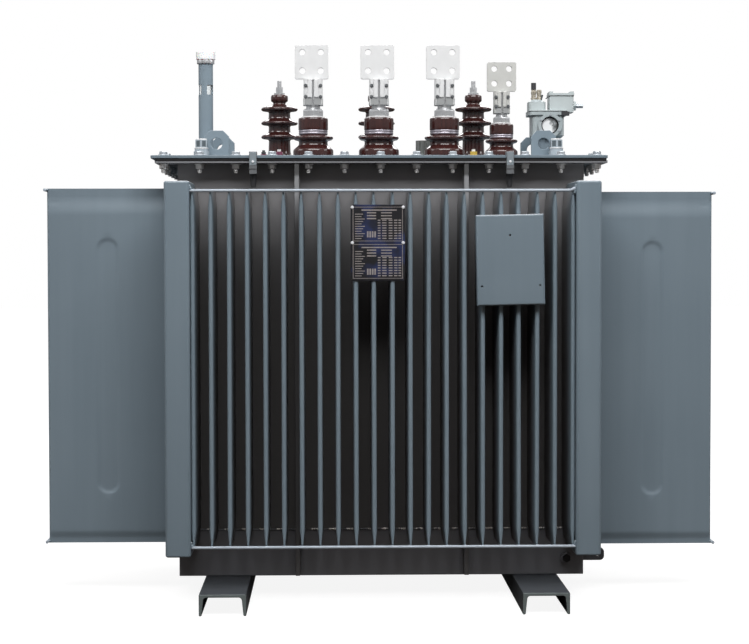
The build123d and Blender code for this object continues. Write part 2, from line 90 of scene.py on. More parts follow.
def finish(name):
    """New material with its tree, its surface shader and the piece's own coordinates."""
    material = bpy.data.materials.new(name)
    material.use_nodes = True
    tree = material.node_tree
    return material, tree, tree.nodes["Principled BSDF"], put(tree, "ShaderNodeTexCoord").outputs["Object"]


def mixed(tree, share, one, other):
    """Colour between two colours, each a triple or a socket, by a share."""
    ends = [c if isinstance(c, bpy.types.NodeSocket) else (*c, 1) for c in (one, other)]
    return put(tree, "ShaderNodeMix", {0: share, 6: ends[0], 7: ends[1]}, data_type="RGBA").outputs[2]


def noise(tree, place, scale, detail):
    """Noise level on coordinates, where a triple of scales draws the grain out along one way."""
    if isinstance(scale, tuple):
        place = put(tree, "ShaderNodeMapping", {"Vector": place, "Scale": scale}).outputs[0]
        scale = 1.0
    return put(tree, "ShaderNodeTexNoise", {"Vector": place, "Scale": scale, "Detail": detail}).outputs[0]


def ramp(tree, value, start, end, low=0.0, high=1.0):
    """Level that runs from low to high while a value runs from start to end."""
    return put(tree, "ShaderNodeMapRange", {
        "Value": value, "From Min": start, "From Max": end, "To Min": low, "To Max": high}).outputs[0]


def rough(tree, face, height, strength, distance):
    """Fine relief on a surface."""
    bump = put(tree, "ShaderNodeBump", {"Strength": strength, "Distance": distance, "Height": height})
    feed(tree, face, {"Normal": bump.outputs[0]})


dust_and_highlight_grey = (0.5, 0.52, 0.54)
# Most that a painted shade or painted light takes over the paint's own tone.
painted_shade_share = 0.92


def paint(name, colour, thin, gloss, dust_and_highlight, painted_shades=()):
    """Sprayed satin paint: clouds and faint runs of tone, orange peel, and pale dust on faces that look up,
    which where it is laid on heavily is also a painted highlight on those faces.

    Each painted shade is a colour of painted light or shade, with the spans of depth or height over which
    the paint turns to it.
    """
    material, tree, face, place = finish(name)
    cloud = noise(tree, place, 3.1, 5.0)
    runs_down = noise(tree, place, (26.0, 26.0, 1.4), 3.0)
    tone = mixed(tree, ramp(tree, maths(tree, "ADD", cloud, runs_down), 0.75, 1.3), colour, thin)
    spot = put(tree, "ShaderNodeSeparateXYZ", {0: place}).outputs
    # Painted light and shade: each tone lightens or darkens the paint over spans of depth or height.
    for painted_tone, spans in painted_shades:
        share = painted_shade_share
        for axis, start, end in spans:
            level = ramp(tree, maths(tree, "ABSOLUTE", spot[axis]), start, end)
            share = maths(tree, "MULTIPLY", level, share)
        tone = mixed(tree, share, tone, painted_tone)
    # Pale dust on faces that look up; where it is heavy, as in the edge paint, it is also a painted
    # highlight.
    normal = put(tree, "ShaderNodeNewGeometry").outputs["Normal"]
    up = put(tree, "ShaderNodeSeparateXYZ", {0: normal}).outputs["Z"]
    speck = ramp(tree, noise(tree, place, 45.0, 4.0), 0.2, 0.7, 0.6, 1.0)
    dust_and_highlight_share = maths(tree, "MULTIPLY", ramp(tree, up, 0.45, 1.0, 0.0, dust_and_highlight), speck)
    feed(tree, face, {
        "Base Color": mixed(tree, dust_and_highlight_share, tone, dust_and_highlight_grey), "Specular IOR Level": 0.32,
        "Roughness": ramp(tree, cloud, 0.0, 1.0, gloss - 0.07, gloss + 0.09)})
    rough(tree, face, noise(tree, place, 520.0, 1.5), 0.16, 0.0005)
    return material


def shown(name, mesh):
    """Object at the origin that holds a mesh."""
    piece = bpy.data.objects.new(name, mesh)
    bpy.context.scene.collection.objects.link(piece)
    return piece


def plain(piece):
    """Turn what the modifiers make into the piece's own mesh."""
    graph = bpy.context.evaluated_depsgraph_get()
    mesh = bpy.data.meshes.new_from_object(piece.evaluated_get(graph), depsgraph=graph)
    piece.modifiers.clear()
    piece.data = mesh
    return piece


sharp_edge = math.radians(32)


def eased(piece, radius, steps=2):
    """Break the sharp edges of a piece to a small radius."""
    edges = piece.modifiers.new("edges", "BEVEL")
    edges.width = radius
    edges.segments = steps
    edges.limit_method = "ANGLE"
    edges.angle_limit = sharp_edge
    edges.harden_normals = True
    return plain(piece)


def seat(piece, slot_name, *parts):
    """Fix a finished piece on the tank and hide the solids that it stands for; the slot name is not used."""
    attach(piece, "root")
    if parts:
        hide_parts(*parts)
    return piece


def softened(part, radius, material, slot_name, steps=2, others=(), choose=None):
    """A piece with a solid's outline and eased edges; choose picks one of its finishes by a face's middle."""
    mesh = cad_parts[part].data.copy()
    mesh.materials.clear()
    for one in (material, *others):
        mesh.materials.append(one)
    shape = bmesh.new()
    shape.from_mesh(mesh)
    bmesh.ops.remove_doubles(shape, verts=shape.verts, dist=1e-5)
    bmesh.ops.dissolve_limit(shape, angle_limit=math.radians(0.6), verts=shape.verts, edges=shape.edges)
    for edge in shape.edges:
        edge.smooth = len(edge.link_faces) == 2 and edge.calc_face_angle() < sharp_edge
    for side in shape.faces:
        side.material_index = choose(side.calc_center_median()) if choose else 0
        side.smooth = True
    shape.to_mesh(mesh)
    shape.free()
    return seat(eased(shown(part + "_piece", mesh), radius, steps), slot_name, part)


skid_paint = paint("skid_paint", (0.028, 0.032, 0.037), (0.038, 0.043, 0.05), 0.5, 0.03)
# Painted light: a paler grey for the skids' end faces, which look forward and back.
sawn_paint = paint("sawn_paint", (0.093, 0.112, 0.112), (0.116, 0.137, 0.137), 0.45, 0.03)
for side in ("left", "right"):
    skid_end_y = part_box("skid_channel_" + side)[1].y - 0.001
    softened("skid_channel_" + side, 0.0018, skid_paint, "skid_paint", 3, (sawn_paint,),
             lambda middle: int(abs(middle.y) > skid_end_y))

# Tank floor and long walls: pressed sheet folded into deep fins, each pinched flat and welded shut at its
# ends, on a wall that runs down to the floor. Deep between the fins the paint is darkened to neutral and
# warm near-black greys as painted shade, and right under the rim it is lifted to a paler grey as painted
# light. A seam weld joins every fin root to the plain strip below, and short near-white runs on it are
# painted glints.

tank_grey = (0.138, 0.179, 0.212)
thin_grey = (0.154, 0.197, 0.231)
into_gap = ("Y", 0.4, 0.29)
tank_paint = paint("tank_paint", tank_grey, thin_grey, 0.4, 0.06)
# Fin paint, painted shade and light: deeper into the gaps it turns a neutral grey, and a warm near-black
# below the top; near the top of the wall it turns a little darker, right under the rim paler, and low on the
# wall sheet between the fins darker again.
fin_paint = paint("fin_paint", tank_grey, thin_grey, 0.4, 0.06, (
    ((0.2, 0.196, 0.2), (into_gap,)),
    ((0.06, 0.055, 0.055), (("Y", 0.4, 0.24), ("Z", 0.97, 0.62))),
    ((0.16, 0.158, 0.163), (into_gap, ("Z", 0.99, 1.05))),
    ((0.25, 0.247, 0.255), (into_gap, ("Z", 1.095, 1.125))),
    ((0.112, 0.108, 0.108), (("Y", 0.233, 0.224), ("Z", 0.95, 0.7)))))
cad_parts["tank_floor"].data.materials.clear()
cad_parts["tank_floor"].data.materials.append(tank_paint)
floor_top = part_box("tank_floor")[1].z
tank_half_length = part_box("tank_floor")[1].x
tank_half_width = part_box("tank_floor")[1].y
wall_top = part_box("front_fin_wall")[1].z
wall_sheet = 0.004
fin_pitch = 0.0465
fin_half = 0.006
seam_half = 0.0012
nose_steps = 8


def fin_shell(depth, height, low, top, columns, rows, swell, ease):
    """One hollow fin: root at y 0, folded nose forward, faces moved by the swell, ends pinched to a seam.

    The low and top end each have the height of the flat seam and of the slope above or below it. Ease rounds
    the slope off, from 0 for a straight wedge to 1.
    """
    shape = bmesh.new()
    rings = []
    for z in rows:
        rise = min(1, max(0, (z - low[0]) / low[1]))
        fall = min(1, max(0, (height - z - top[0]) / top[1]))
        wedge = rise * fall
        open_share = wedge + ease * (wedge * wedge * (3 - 2 * wedge) - wedge)
        half = seam_half + (fin_half - seam_half) * open_share
        faces = [(half + open_share * swell(u, z), -u) for u in columns]
        nose = [(-half * math.cos(a), half - depth - half * math.sin(a)) for a in
                [math.pi * k / nose_steps for k in range(1, nose_steps)]]
        path = [(-x, y) for x, y in faces] + nose + faces[::-1]
        rings.append([shape.verts.new((x, y, z)) for x, y in path])
    count = len(rings[0])
    for below, above in zip(rings, rings[1:]):
        for i in range(count):
            j = (i + 1) % count
            shape.faces.new((below[i], below[j], above[j], above[i]))
    for ring in (rings[0], rings[-1]):
        for i in range(count // 2):
            ends = list(dict.fromkeys([ring[i], ring[i + 1], ring[count - 2 - i], ring[count - 1 - i]]))
            if len(ends) > 2:
                shape.faces.new(ends)
    bmesh.ops.recalc_face_normals(shape, faces=shape.faces)
    mesh = bpy.data.meshes.new("fin")
    for side in shape.faces:
        side.smooth = True
    shape.to_mesh(mesh)
    shape.free()
    mesh.set_sharp_from_angle(angle=math.radians(50))
    return mesh


def new_tree(name, lengths, counts=("Seed",)):
    """Geometry tree with a geometry input, named lengths, named counts, a finish and one geometry output."""
    tree = bpy.data.node_groups.new(name, "GeometryNodeTree")
    tree.interface.new_socket("Geometry", in_out="INPUT", socket_type="NodeSocketGeometry")
    for names, kind in ((lengths, "Float"), (counts, "Int"), (("Finish",), "Material")):
        for one in names:
            tree.interface.new_socket(one, in_out="INPUT", socket_type="NodeSocket" + kind)
    tree.interface.new_socket("Geometry", in_out="OUTPUT", socket_type="NodeSocketGeometry")
    return tree, tree.nodes.new("NodeGroupInput").outputs, tree.nodes.new("NodeGroupOutput").inputs


def along(tree, **lengths):
    """Vector with the given lengths along X, Y and Z."""
    return put(tree, "ShaderNodeCombineXYZ", lengths).outputs[0]


def closing(tree, shape, inputs, output):
    """Real geometry in one finish at the end of a tree."""
    real = put(tree, "GeometryNodeRealizeInstances", {0: shape}).outputs[0]
    coated = put(tree, "GeometryNodeSetMaterial", {"Geometry": real, "Material": inputs["Finish"]}).outputs[0]
    tree.links.new(coated, output["Geometry"])


def grown(name, mesh, tree, **sizes):
    """Run a geometry tree on a mesh with the given sizes and keep the plain result."""
    piece = shown(name, mesh)
    modifier = piece.modifiers.new("tree", "NODES")
    modifier.node_group = tree
    for item in tree.interface.items_tree:
        size = item.name.replace(" ", "_").lower()
        if item.in_out == "INPUT" and size in sizes:
            modifier[item.identifier] = sizes[size]
    piece.data.update()
    return plain(piece)


fin_row, sizes_in, row_out = new_tree(
    "fin_row", ("Pitch", "Lean", "Length", "Height", "Sheet", "Foot"), ("Fins", "Seed"))
gaps = maths(fin_row, "SUBTRACT", sizes_in["Fins"], 1.0)
span = maths(fin_row, "MULTIPLY", gaps, sizes_in["Pitch"])
line = put(fin_row, "GeometryNodeMeshLine", {
    "Count": sizes_in["Fins"], "Start Location": along(fin_row, X=maths(fin_row, "MULTIPLY", span, -0.5)),
    "Offset": along(fin_row, X=sizes_in["Pitch"])}).outputs[0]
tilt = put(fin_row, "FunctionNodeRandomValue", {
    0: along(fin_row, Y=maths(fin_row, "MULTIPLY", sizes_in["Lean"], -1.0)),
    1: along(fin_row, Y=sizes_in["Lean"]), "Seed": sizes_in["Seed"]}, data_type="FLOAT_VECTOR").outputs[0]
fins = put(fin_row, "GeometryNodeInstanceOnPoints", {
    "Points": line, "Instance": sizes_in["Geometry"], "Rotation": tilt}).outputs[0]
plate_size = along(fin_row, X=sizes_in["Length"], Y=sizes_in["Sheet"], Z=sizes_in["Height"])
plate = put(fin_row, "GeometryNodeMeshCube", {"Size": plate_size}).outputs[0]
below = maths(fin_row, "MULTIPLY", sizes_in["Foot"], -1.0)
plate_place = along(
    fin_row, Y=maths(fin_row, "MULTIPLY", sizes_in["Sheet"], 0.5),
    Z=maths(fin_row, "MULTIPLY_ADD", sizes_in["Height"], 0.5, below))
plate = put(fin_row, "GeometryNodeTransform", {"Geometry": plate, "Translation": plate_place}).outputs[0]
joined = put(fin_row, "GeometryNodeJoinGeometry")
fin_row.links.new(plate, joined.inputs[0])
fin_row.links.new(fins, joined.inputs[0])
closing(fin_row, joined.outputs[0], sizes_in, row_out)


def fin_wall(name, turn, reach, shell, foot, **sizes):
    """Row of fins on its wall sheet, turned to its own side of the tank."""
    wall = grown(name + "_fin_wall_piece", shell, fin_row, pitch=fin_pitch, height=wall_top - floor_top,
                 sheet=wall_sheet, foot=foot, **sizes)
    wall.data.transform(Matrix.Rotation(turn, 4, "Z") @ Matrix.Translation((0, -reach, floor_top + foot)))
    seat(wall, "tank_paint", name + "_fin_wall")


front_foot = 0.093
front_height = 0.924
front_depth = 0.195
front_fins = 22
front_pinch = (0, 0.046)
front_bulge = 0.0008


def front_swell(u, z):
    """Oil pressure rounds the faces of a front fin a little at mid depth."""
    return front_bulge * math.sin(math.pi * max(0, u) / front_depth)


low_rows = [0, 0.008, 0.016, 0.024, 0.032, 0.04, 0.046, 0.052]
top_rows = [front_height - z for z in reversed(low_rows)]
front_rows = low_rows + [0.12, 0.3, 0.5, 0.7, 0.85] + top_rows
front_columns = [-0.002, 0.045, 0.09, 0.14, 0.178]
for name, turn, seed in (("front", 0, 3), ("rear", math.pi, 8)):
    shell = fin_shell(
        front_depth, front_height, front_pinch, front_pinch, front_columns, front_rows, front_swell, 0)
    fin_wall(name, turn, tank_half_width, shell, front_foot, fins=front_fins, lean=0.0016, seed=seed,
             length=2 * tank_half_length, finish=fin_paint)

bead_run, sizes_in, bead_out = new_tree("bead_run", ("Step", "Radius", "Flatness"))
path = put(bead_run, "GeometryNodeMeshToCurve", {0: sizes_in["Geometry"]}).outputs[0]
spots = put(bead_run, "GeometryNodeCurveToPoints", {"Curve": path, "Length": sizes_in["Step"]}, mode="LENGTH")
drop = put(bead_run, "GeometryNodeMeshUVSphere", {
    "Segments": 8, "Rings": 5, "Radius": sizes_in["Radius"]}).outputs[0]
drop = put(bead_run, "GeometryNodeSetShadeSmooth", {0: drop}).outputs[0]
least = along(bead_run, X=0.85, Y=0.85, Z=sizes_in["Flatness"])
grow = put(bead_run, "FunctionNodeRandomValue", {
    2: 0.85, 3: 1.2, "Seed": sizes_in["Seed"]}, data_type="FLOAT").outputs[1]
scale = put(bead_run, "ShaderNodeVectorMath", {0: least, "Scale": grow}, operation="SCALE").outputs[0]
drops = put(bead_run, "GeometryNodeInstanceOnPoints", {
    "Points": spots.outputs[0], "Instance": drop, "Scale": scale}).outputs[0]
closing(bead_run, drops, sizes_in, bead_out)


def welded(name, lines, material, slot_name="tank_paint", **sizes):
    """Weld beads laid along lines of points."""
    points, edges = [], []
    for one in lines:
        edges += [(len(points) + i, len(points) + i + 1) for i in range(len(one) - 1)]
        points += one
    mesh = bpy.data.meshes.new("runs")
    mesh.from_pydata(points, edges, [])
    seat(grown(name, mesh, bead_run, finish=material, **sizes), slot_name)


def metal(name, colour, dull, roughness, grain_scale, metallic=1.0, spangle=0.0):
    """Bare or plated metal: patches of tone, rubbed grain, and crystal flakes where it was dipped in zinc."""
    material, tree, face, place = finish(name)
    share = noise(tree, place, 38.0, 5.0)
    if spangle:
        flake = put(tree, "ShaderNodeTexVoronoi", {"Vector": place, "Scale": spangle}).outputs["Color"]
        share = mixed(tree, 0.55, share, flake)
    rub = noise(tree, place, grain_scale, 4.0)
    feed(tree, face, {
        "Base Color": mixed(tree, share, colour, dull), "Metallic": metallic,
        "Roughness": ramp(tree, rub, 0.0, 1.0, roughness - 0.1, roughness + 0.12)})
    rough(tree, face, rub, 0.12, 0.0003)
    return material


# Strip paint: a neutral grey a little darker than the tank's blue grey, painted shade for the strip, the root
# welds and the drain boss, low down in the shade under the fins.
strip_paint = paint("strip_paint", (0.14, 0.142, 0.155), (0.158, 0.161, 0.175), 0.42, 0.1)
seam_level = 0.1795
glint_level = seam_level + 0.0006
weld_proud = 0.0005
glint_start, glint_stop = 0.017, 0.002
first_fin = -(front_fins - 1) * fin_pitch / 2
root_lines, glint_lines = [], []
for side in (-1, 1):
    y = side * (tank_half_width + wall_sheet + weld_proud)
    for i in range(front_fins - 1):
        near = first_fin + i * fin_pitch + fin_half
        far = near + fin_pitch - 2 * fin_half
        root_lines.append([(near, y, seam_level), (far, y, seam_level)])
        glint_lines.append([(far - glint_start, y, glint_level), (far - glint_stop, y, glint_level)])
welded("fin_root_welds", root_lines, strip_paint, step=0.0042, radius=0.0034, flatness=0.8, seed=5)
# Painted glints: short near-white runs on the seam weld at one end of each fin gap stand in for light caught
# on the seam.
bare_weld = metal("bare_weld", (0.95, 0.9, 0.85), (0.8, 0.75, 0.7), 0.3, 300.0, 0.15)
welded("bare_root_welds", glint_lines, bare_weld, "stud_metal", step=0.0026, radius=0.0032, flatness=0.8,
       seed=6)


def bar(shape, one, other):
    """Add a box between two opposite corners."""
    size = [abs(length) for length in Vector(other) - Vector(one)]
    place = Matrix.Translation((Vector(one) + Vector(other)) / 2) @ Matrix.Diagonal((*size, 1))
    return bmesh.ops.create_cube(shape, size=1, matrix=place)["verts"]


def kept(name, shape, material, angle=35):
    """Object made from edited geometry, smooth but for its sharp edges.

    A bevel leaves the order of corners and faces to chance, so here they get a fixed one.
    """
    mesh = bpy.data.meshes.new(name)
    corners = sorted(shape.verts, key=lambda corner: corner.co[:])
    order = {corner: i for i, corner in enumerate(corners)}
    loops = []
    for side in shape.faces:
        loop = [order[corner] for corner in side.verts]
        first = loop.index(min(loop))
        loops.append(loop[first:] + loop[:first])
    mesh.from_pydata([corner.co for corner in corners], [], sorted(loops))
    shape.free()
    mesh.shade_smooth()
    mesh.set_sharp_from_angle(angle=math.radians(angle))
    mesh.materials.append(material)
    return shown(name, mesh)


def blocks(name, boxes, radius, material, slot_name, steps=2):
    """One piece made of bars, each given by two corners, with eased edges."""
    shape = bmesh.new()
    for one, other in boxes:
        bar(shape, one, other)
    seat(eased(kept(name, shape, material), radius, steps), slot_name)


strip_low = floor_top - 0.007
blocks("lower_strips", [
    ((-tank_half_length, side * tank_half_width, strip_low),
     (tank_half_length, side * (tank_half_width + wall_sheet), seam_level)) for side in (-1, 1)],
    0.0014, strip_paint, "tank_paint")

# End walls: the same folded sheet with fewer and deeper fins. Each face carries a long bead pressed inwards,
# and the oil pressure swells the sheet between the flat seams at its top and bottom, most near the tank.

side_foot = 0.070
side_skew = 0.005
side_height = 0.953
side_depth = 0.354
side_fins = 8
side_low_pinch = (0.01, 0.024)
side_top_pinch = (0.02, 0.05)
bead_middle = side_depth * 0.545
bead_half = 0.027
bead_reach = side_height * 0.715 / 2 - bead_half
bead_deep = 0.0036
bead_slope = 0.013
bead_lead_share = 0.45
bead_faint_share = 0.35
crest_place = 0.113
crest_end = 0.014
crest_bend = 0.66
swell_out = 0.0034
swell_fullness = 0.6
tuck_low = side_height - 0.036
tuck_deep = 0.0015
tuck_place, tuck_wide, tuck_tall = 0.334, 0.011, 0.005
fold_place, fold_wide, fold_tall = 0.341, 0.007, 0.004
fold_rise = 0.009


def end_swell(u, z):
    """Swelling with a crest near the wall, less the pressed bead, with tucks at the upper outer corner."""
    climb = max(0, (z - crest_bend) / (side_height - crest_bend))
    crest = crest_end + (crest_place - crest_end) * (1 - climb ** 2)
    across = max(0, min(u / crest, (side_depth - u) / (side_depth - crest)))
    across *= 2 - across
    upright = math.sin(math.pi * z / side_height) ** swell_fullness
    past = max(0, abs(z - side_height / 2) - bead_reach)
    inside = bead_half - math.hypot(u - bead_middle, past)
    share = min(1, max(0, inside / bead_slope + bead_lead_share))
    ends = min(1, abs(z - side_height / 2) / bead_reach)
    deep = bead_deep * (bead_faint_share + (1 - bead_faint_share) * ends ** 2)
    pressed = deep * share * share * (3 - 2 * share)
    tuck = math.exp(-((u - tuck_place) / tuck_wide) ** 2 - ((z - tuck_low) / tuck_tall) ** 2)
    fold = math.exp(-((u - fold_place) / fold_wide) ** 2 - ((z - tuck_low - fold_rise) / fold_tall) ** 2)
    return swell_out * across * upright - pressed - tuck_deep * tuck + tuck_deep * fold


fine = [bead_middle + (k - 13) * 0.003 for k in range(27)]
side_columns = [-0.002, 0.012, 0.03, 0.05, 0.07, 0.09, 0.105, 0.121, 0.137] + fine
side_columns += [0.25, 0.268, 0.286, 0.302, 0.312, 0.319, 0.326, 0.332, 0.337, 0.342, 0.3465]
lower_bead = [0.13 + k * 0.0042 for k in range(13)]
upper_bead = [side_height - z for z in reversed(lower_bead)]
side_rows = [0, 0.01, 0.013, 0.017, 0.022, 0.027, 0.031, 0.035, 0.045, 0.06, 0.08, 0.11] + lower_bead
side_rows += [0.21, 0.25, 0.3, 0.38, 0.476, 0.57, 0.63, 0.68, 0.72] + upper_bead + [0.84, 0.86, 0.872]
side_rows += [side_height - z for z in (
    0.072, 0.068, 0.062, 0.056, 0.05, 0.047, 0.044, 0.041, 0.038, 0.035, 0.032, 0.028, 0.024, 0.021, 0.02, 0)]
for name, side, seed in (("left", -1, 4), ("right", 1, 9)):
    shell = fin_shell(
        side_depth, side_height, side_low_pinch, side_top_pinch, side_columns, side_rows, end_swell, 1)
    fin_wall(name, side * math.pi / 2, tank_half_length, shell, side_foot - side * side_skew, fins=side_fins,
             lean=0.001, seed=seed, length=2 * tank_half_width - 2 * wall_sheet, finish=tank_paint)

# Corner posts: sheet folded into flat boxes that close the ends of the long walls and guard the fins.
# Their bends are rounded, and caps welded in at the top and bottom are ground smooth. A heavy pale coat on
# their upward faces is partly dust and partly a painted highlight on the tops.

# Edge paint: the heavy pale coat on upward faces is partly dust and partly a painted highlight, here and on
# the rod tacks and the tray.
edge_paint = paint("edge_paint", tank_grey, thin_grey, 0.32, 0.8)
softened("corner_posts", 0.0015, edge_paint, "tank_paint", 3)

# Tie rods and bars: drawn round rod tacked along the fin ends so that they keep their pitch, bent up at the
# right end of the top front rod. Upright flat bars in two fin gaps stiffen the long walls up to the rim.


def round_bar(shape, start, end, radius, sides=20, rounded=0.0015):
    """Add a round bar between two points with broken end edges."""
    axis = Vector(end) - Vector(start)
    turn = axis.to_track_quat("Z", "Y").to_matrix().to_4x4()
    place = Matrix.Translation((Vector(start) + Vector(end)) / 2) @ turn
    made = bmesh.ops.create_cone(
        shape, cap_ends=True, segments=sides, radius1=radius, radius2=radius, depth=axis.length, matrix=place)
    rims = [edge for corner in made["verts"] for edge in corner.link_edges
            if edge.calc_face_angle(0) > math.radians(60)]
    bmesh.ops.bevel(
        shape, geom=list(dict.fromkeys(rims)), offset=rounded, segments=2, affect="EDGES")


rod_radius = 0.004
rod_front = tank_half_width + front_depth + rod_radius
rod_end = tank_half_length + side_depth + rod_radius
rod_past_fin = 0.015
post_inner = 0.49475
rod_kink = 0.012
kink_rise = 0.007
kink_lap = 0.002
kink_tack_in, kink_tack_drop = 0.004, 0.006
tack_half = 0.003
end_tack_in, end_tack_low, end_tack_high = 0.003, 0.002, 0.012
# Painted light: the rods' paint is a paler copy of the tank's blue grey, for the bright light that the round
# rods catch.
rod_paint = paint("rod_paint", (0.309, 0.354, 0.407), (0.35, 0.398, 0.452), 0.42, 0.05)
rod_shape = bmesh.new()
tacks = []
for side in (-1, 1):
    y = side * rod_front
    tack_y = y - side * rod_radius
    for z in (floor_top + front_foot + rod_radius, floor_top + front_foot + front_height - rod_radius):
        bent = z > wall_top / 2 and side < 0
        straight = post_inner - rod_kink * bent
        round_bar(rod_shape, (-post_inner, y, z), (straight, y, z), rod_radius)
        if bent:
            round_bar(rod_shape, (straight - kink_lap, y, z), (post_inner, y, z + kink_rise), rod_radius)
            tacks.append([(post_inner, y, z + end_tack_high),
                          (post_inner - kink_tack_in, y, z - kink_tack_drop)])
        for end in (-1, 1):
            tacks.append([(end * post_inner, y, z + end_tack_high),
                          (end * (post_inner - end_tack_in), y, z + end_tack_low)])
        for i in range(front_fins):
            x = first_fin + i * fin_pitch
            tacks.append([(x - tack_half, tack_y, z), (x + tack_half, tack_y, z)])
    tack_x = side * (rod_end - rod_radius)
    for z in (side_foot + rod_radius, side_foot + side_height - rod_radius):
        z += floor_top - side * side_skew
        reach = (side_fins - 1) * fin_pitch / 2 + fin_half + rod_past_fin
        round_bar(rod_shape, (side * rod_end, -reach, z), (side * rod_end, reach, z), rod_radius)
        for i in range(side_fins):
            y = (i - (side_fins - 1) / 2) * fin_pitch
            tacks.append([(tack_x, y - tack_half, z), (tack_x, y + tack_half, z)])
seat(kept("fin_rods_piece", rod_shape, rod_paint), "tank_paint", "fin_rods")
welded("rod_tacks", tacks, edge_paint, step=0.003, radius=0.0042, flatness=0.85, seed=11)
# Bar paint, painted light and shade: paler than the tank's paint, darker from 1.07 m down among the fins, and
# near black at the top as a painted shadow under the rim.
bar_paint = paint("bar_paint", (0.2, 0.205, 0.215), (0.235, 0.24, 0.25), 0.4, 0.2, (
    ((0.08, 0.078, 0.08), (("Z", 1.07, 0.99),)), ((0.05, 0.05, 0.05), (("Z", 1.116, 1.124),))))
softened("tie_bars", 0.0012, bar_paint, "tank_paint")

# Rim, gasket and cover: four flat bars welded round the tank mouth, a rubber gasket with a lip over the bars
# and a thick steel cover, drawn together by zinc-plated hexagon bolts with washers and nuts all round.


def two_toned(name, one, other, scale, detail, inputs, relief=None):
    """Rubber, plastic or ink: two tones in a fine grain, which is also the relief where it is given."""
    material, tree, face, place = finish(name)
    grain = noise(tree, place, scale, detail)
    feed(tree, face, {"Base Color": mixed(tree, grain, one, other), **inputs})
    if relief:
        rough(tree, face, grain, *relief)
    return material


# Painted shade: the rim paint is a darker neutral grey than the tank's, for the rim in the cover's shade.
rim_paint = paint("rim_paint", (0.158, 0.162, 0.174), (0.18, 0.184, 0.196), 0.4, 0.1)
softened("rim_bars", 0.001, rim_paint, "tank_paint")
softened("cover_plate", 0.0012, tank_paint, "tank_paint")
gasket_rubber = two_toned(
    "gasket_rubber", (0.006, 0.006, 0.007), (0.02, 0.019, 0.02), 180.0, 3.0,
    {"Roughness": 0.75, "Specular IOR Level": 0.25}, (0.3, 0.0005))
softened("cover_gasket", 0.002, gasket_rubber, "gasket_rubber")
rim_low, rim_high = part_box("rim_bars")
lip_proud = 0.0003
lip_wide = 0.002
lip_low = rim_high.z - 0.0013
lip_high = rim_high.z + lip_proud
lip = []
for side in (-1, 1):
    lip.append(((rim_low.x - lip_proud, side * (rim_high.y - lip_wide), lip_low),
                (rim_high.x + lip_proud, side * (rim_high.y + lip_proud), lip_high)))
    lip.append(((side * (rim_high.x - lip_wide), rim_low.y + lip_wide, lip_low),
                (side * (rim_high.x + lip_proud), rim_high.y - lip_wide, lip_high)))
blocks("gasket_lip", lip, 0.0003, gasket_rubber, "gasket_rubber")

zinc = metal("zinc_plate", (0.46, 0.49, 0.52), (0.36, 0.39, 0.42), 0.4, 300.0, 0.6)
pale_zinc = metal("pale_zinc", (0.82, 0.81, 0.8), (0.6, 0.6, 0.6), 0.4, 300.0, 0.3)
bolt_set, sizes_in, set_out = new_tree(
    "bolt_set", ("Flats", "Head", "Washer", "Washer thickness", "Shank", "Grip", "Nut", "Tip"))
stack = put(bolt_set, "GeometryNodeJoinGeometry")


def added(*terms):
    """Sum of the bolt set's sizes, each with a sign or share."""
    total = None
    for size, share in terms:
        term = maths(bolt_set, "MULTIPLY", sizes_in[size], share)
        total = maths(bolt_set, "ADD", total, term) if total else term
    return total


def stacked(sides, low_radius, high_radius, height, level, smooth):
    """Add a straight or tapered disc, hexagon or shank to the bolt set, standing on a level."""
    solid = put(bolt_set, "GeometryNodeMeshCone", {
        "Vertices": sides, "Radius Bottom": low_radius, "Radius Top": high_radius, "Depth": height})
    moved = put(bolt_set, "GeometryNodeTransform", {
        "Geometry": solid.outputs[0], "Translation": along(bolt_set, Z=level)}).outputs[0]
    even = put(bolt_set, "GeometryNodeSetShadeSmooth", {
        "Geometry": moved, "Selection": solid.outputs["Side"], "Shade Smooth": smooth}).outputs[0]
    bolt_set.links.new(even, stack.inputs[0])


corner = added(("Flats", 0.57735))
worn = maths(bolt_set, "MULTIPLY", corner, 0.86)
washer, shank = sizes_in["Washer"], sizes_in["Shank"]
disc_up = ("Washer thickness", 1)
under = (("Grip", -1), ("Washer thickness", -1))
stacked(24, washer, washer, sizes_in["Washer thickness"], 0.0, True)
stacked(6, corner, corner, added(("Head", 0.72)), added(disc_up), False)
stacked(6, corner, worn, added(("Head", 0.28)), added(disc_up, ("Head", 0.72)), False)
stacked(24, washer, washer, sizes_in["Washer thickness"], added(*under), True)
stacked(6, corner, corner, added(("Nut", 0.8)), added(*under, ("Nut", -0.8)), False)
stacked(6, worn, corner, added(("Nut", 0.2)), added(*under, ("Nut", -1)), False)
stacked(14, shank, shank, added(("Tip", 0.7)), added(*under, ("Nut", -1), ("Tip", -0.7)), True)
stacked(14, added(("Shank", 0.7)), shank, added(("Tip", 0.3)), added(*under, ("Nut", -1), ("Tip", -1)), True)
spin = put(bolt_set, "FunctionNodeRandomValue", {
    0: along(bolt_set), 1: along(bolt_set, Z=1.047), "Seed": sizes_in["Seed"]},
    data_type="FLOAT_VECTOR").outputs[0]
bolts = put(bolt_set, "GeometryNodeInstanceOnPoints", {
    "Points": sizes_in["Geometry"], "Instance": stack.outputs[0], "Rotation": spin}).outputs[0]
closing(bolt_set, bolts, sizes_in, set_out)


def bolted(name, points, seed, material, slot_name, place=Matrix.Identity(4), **sizes):
    """Bolts through points, heads on the +Z side, then turned into place."""
    mesh = bpy.data.meshes.new("holes")
    mesh.from_pydata(points, [], [])
    piece = grown(name, mesh, bolt_set, seed=seed, finish=material, **sizes)
    piece.data.transform(place)
    return seat(piece, slot_name)


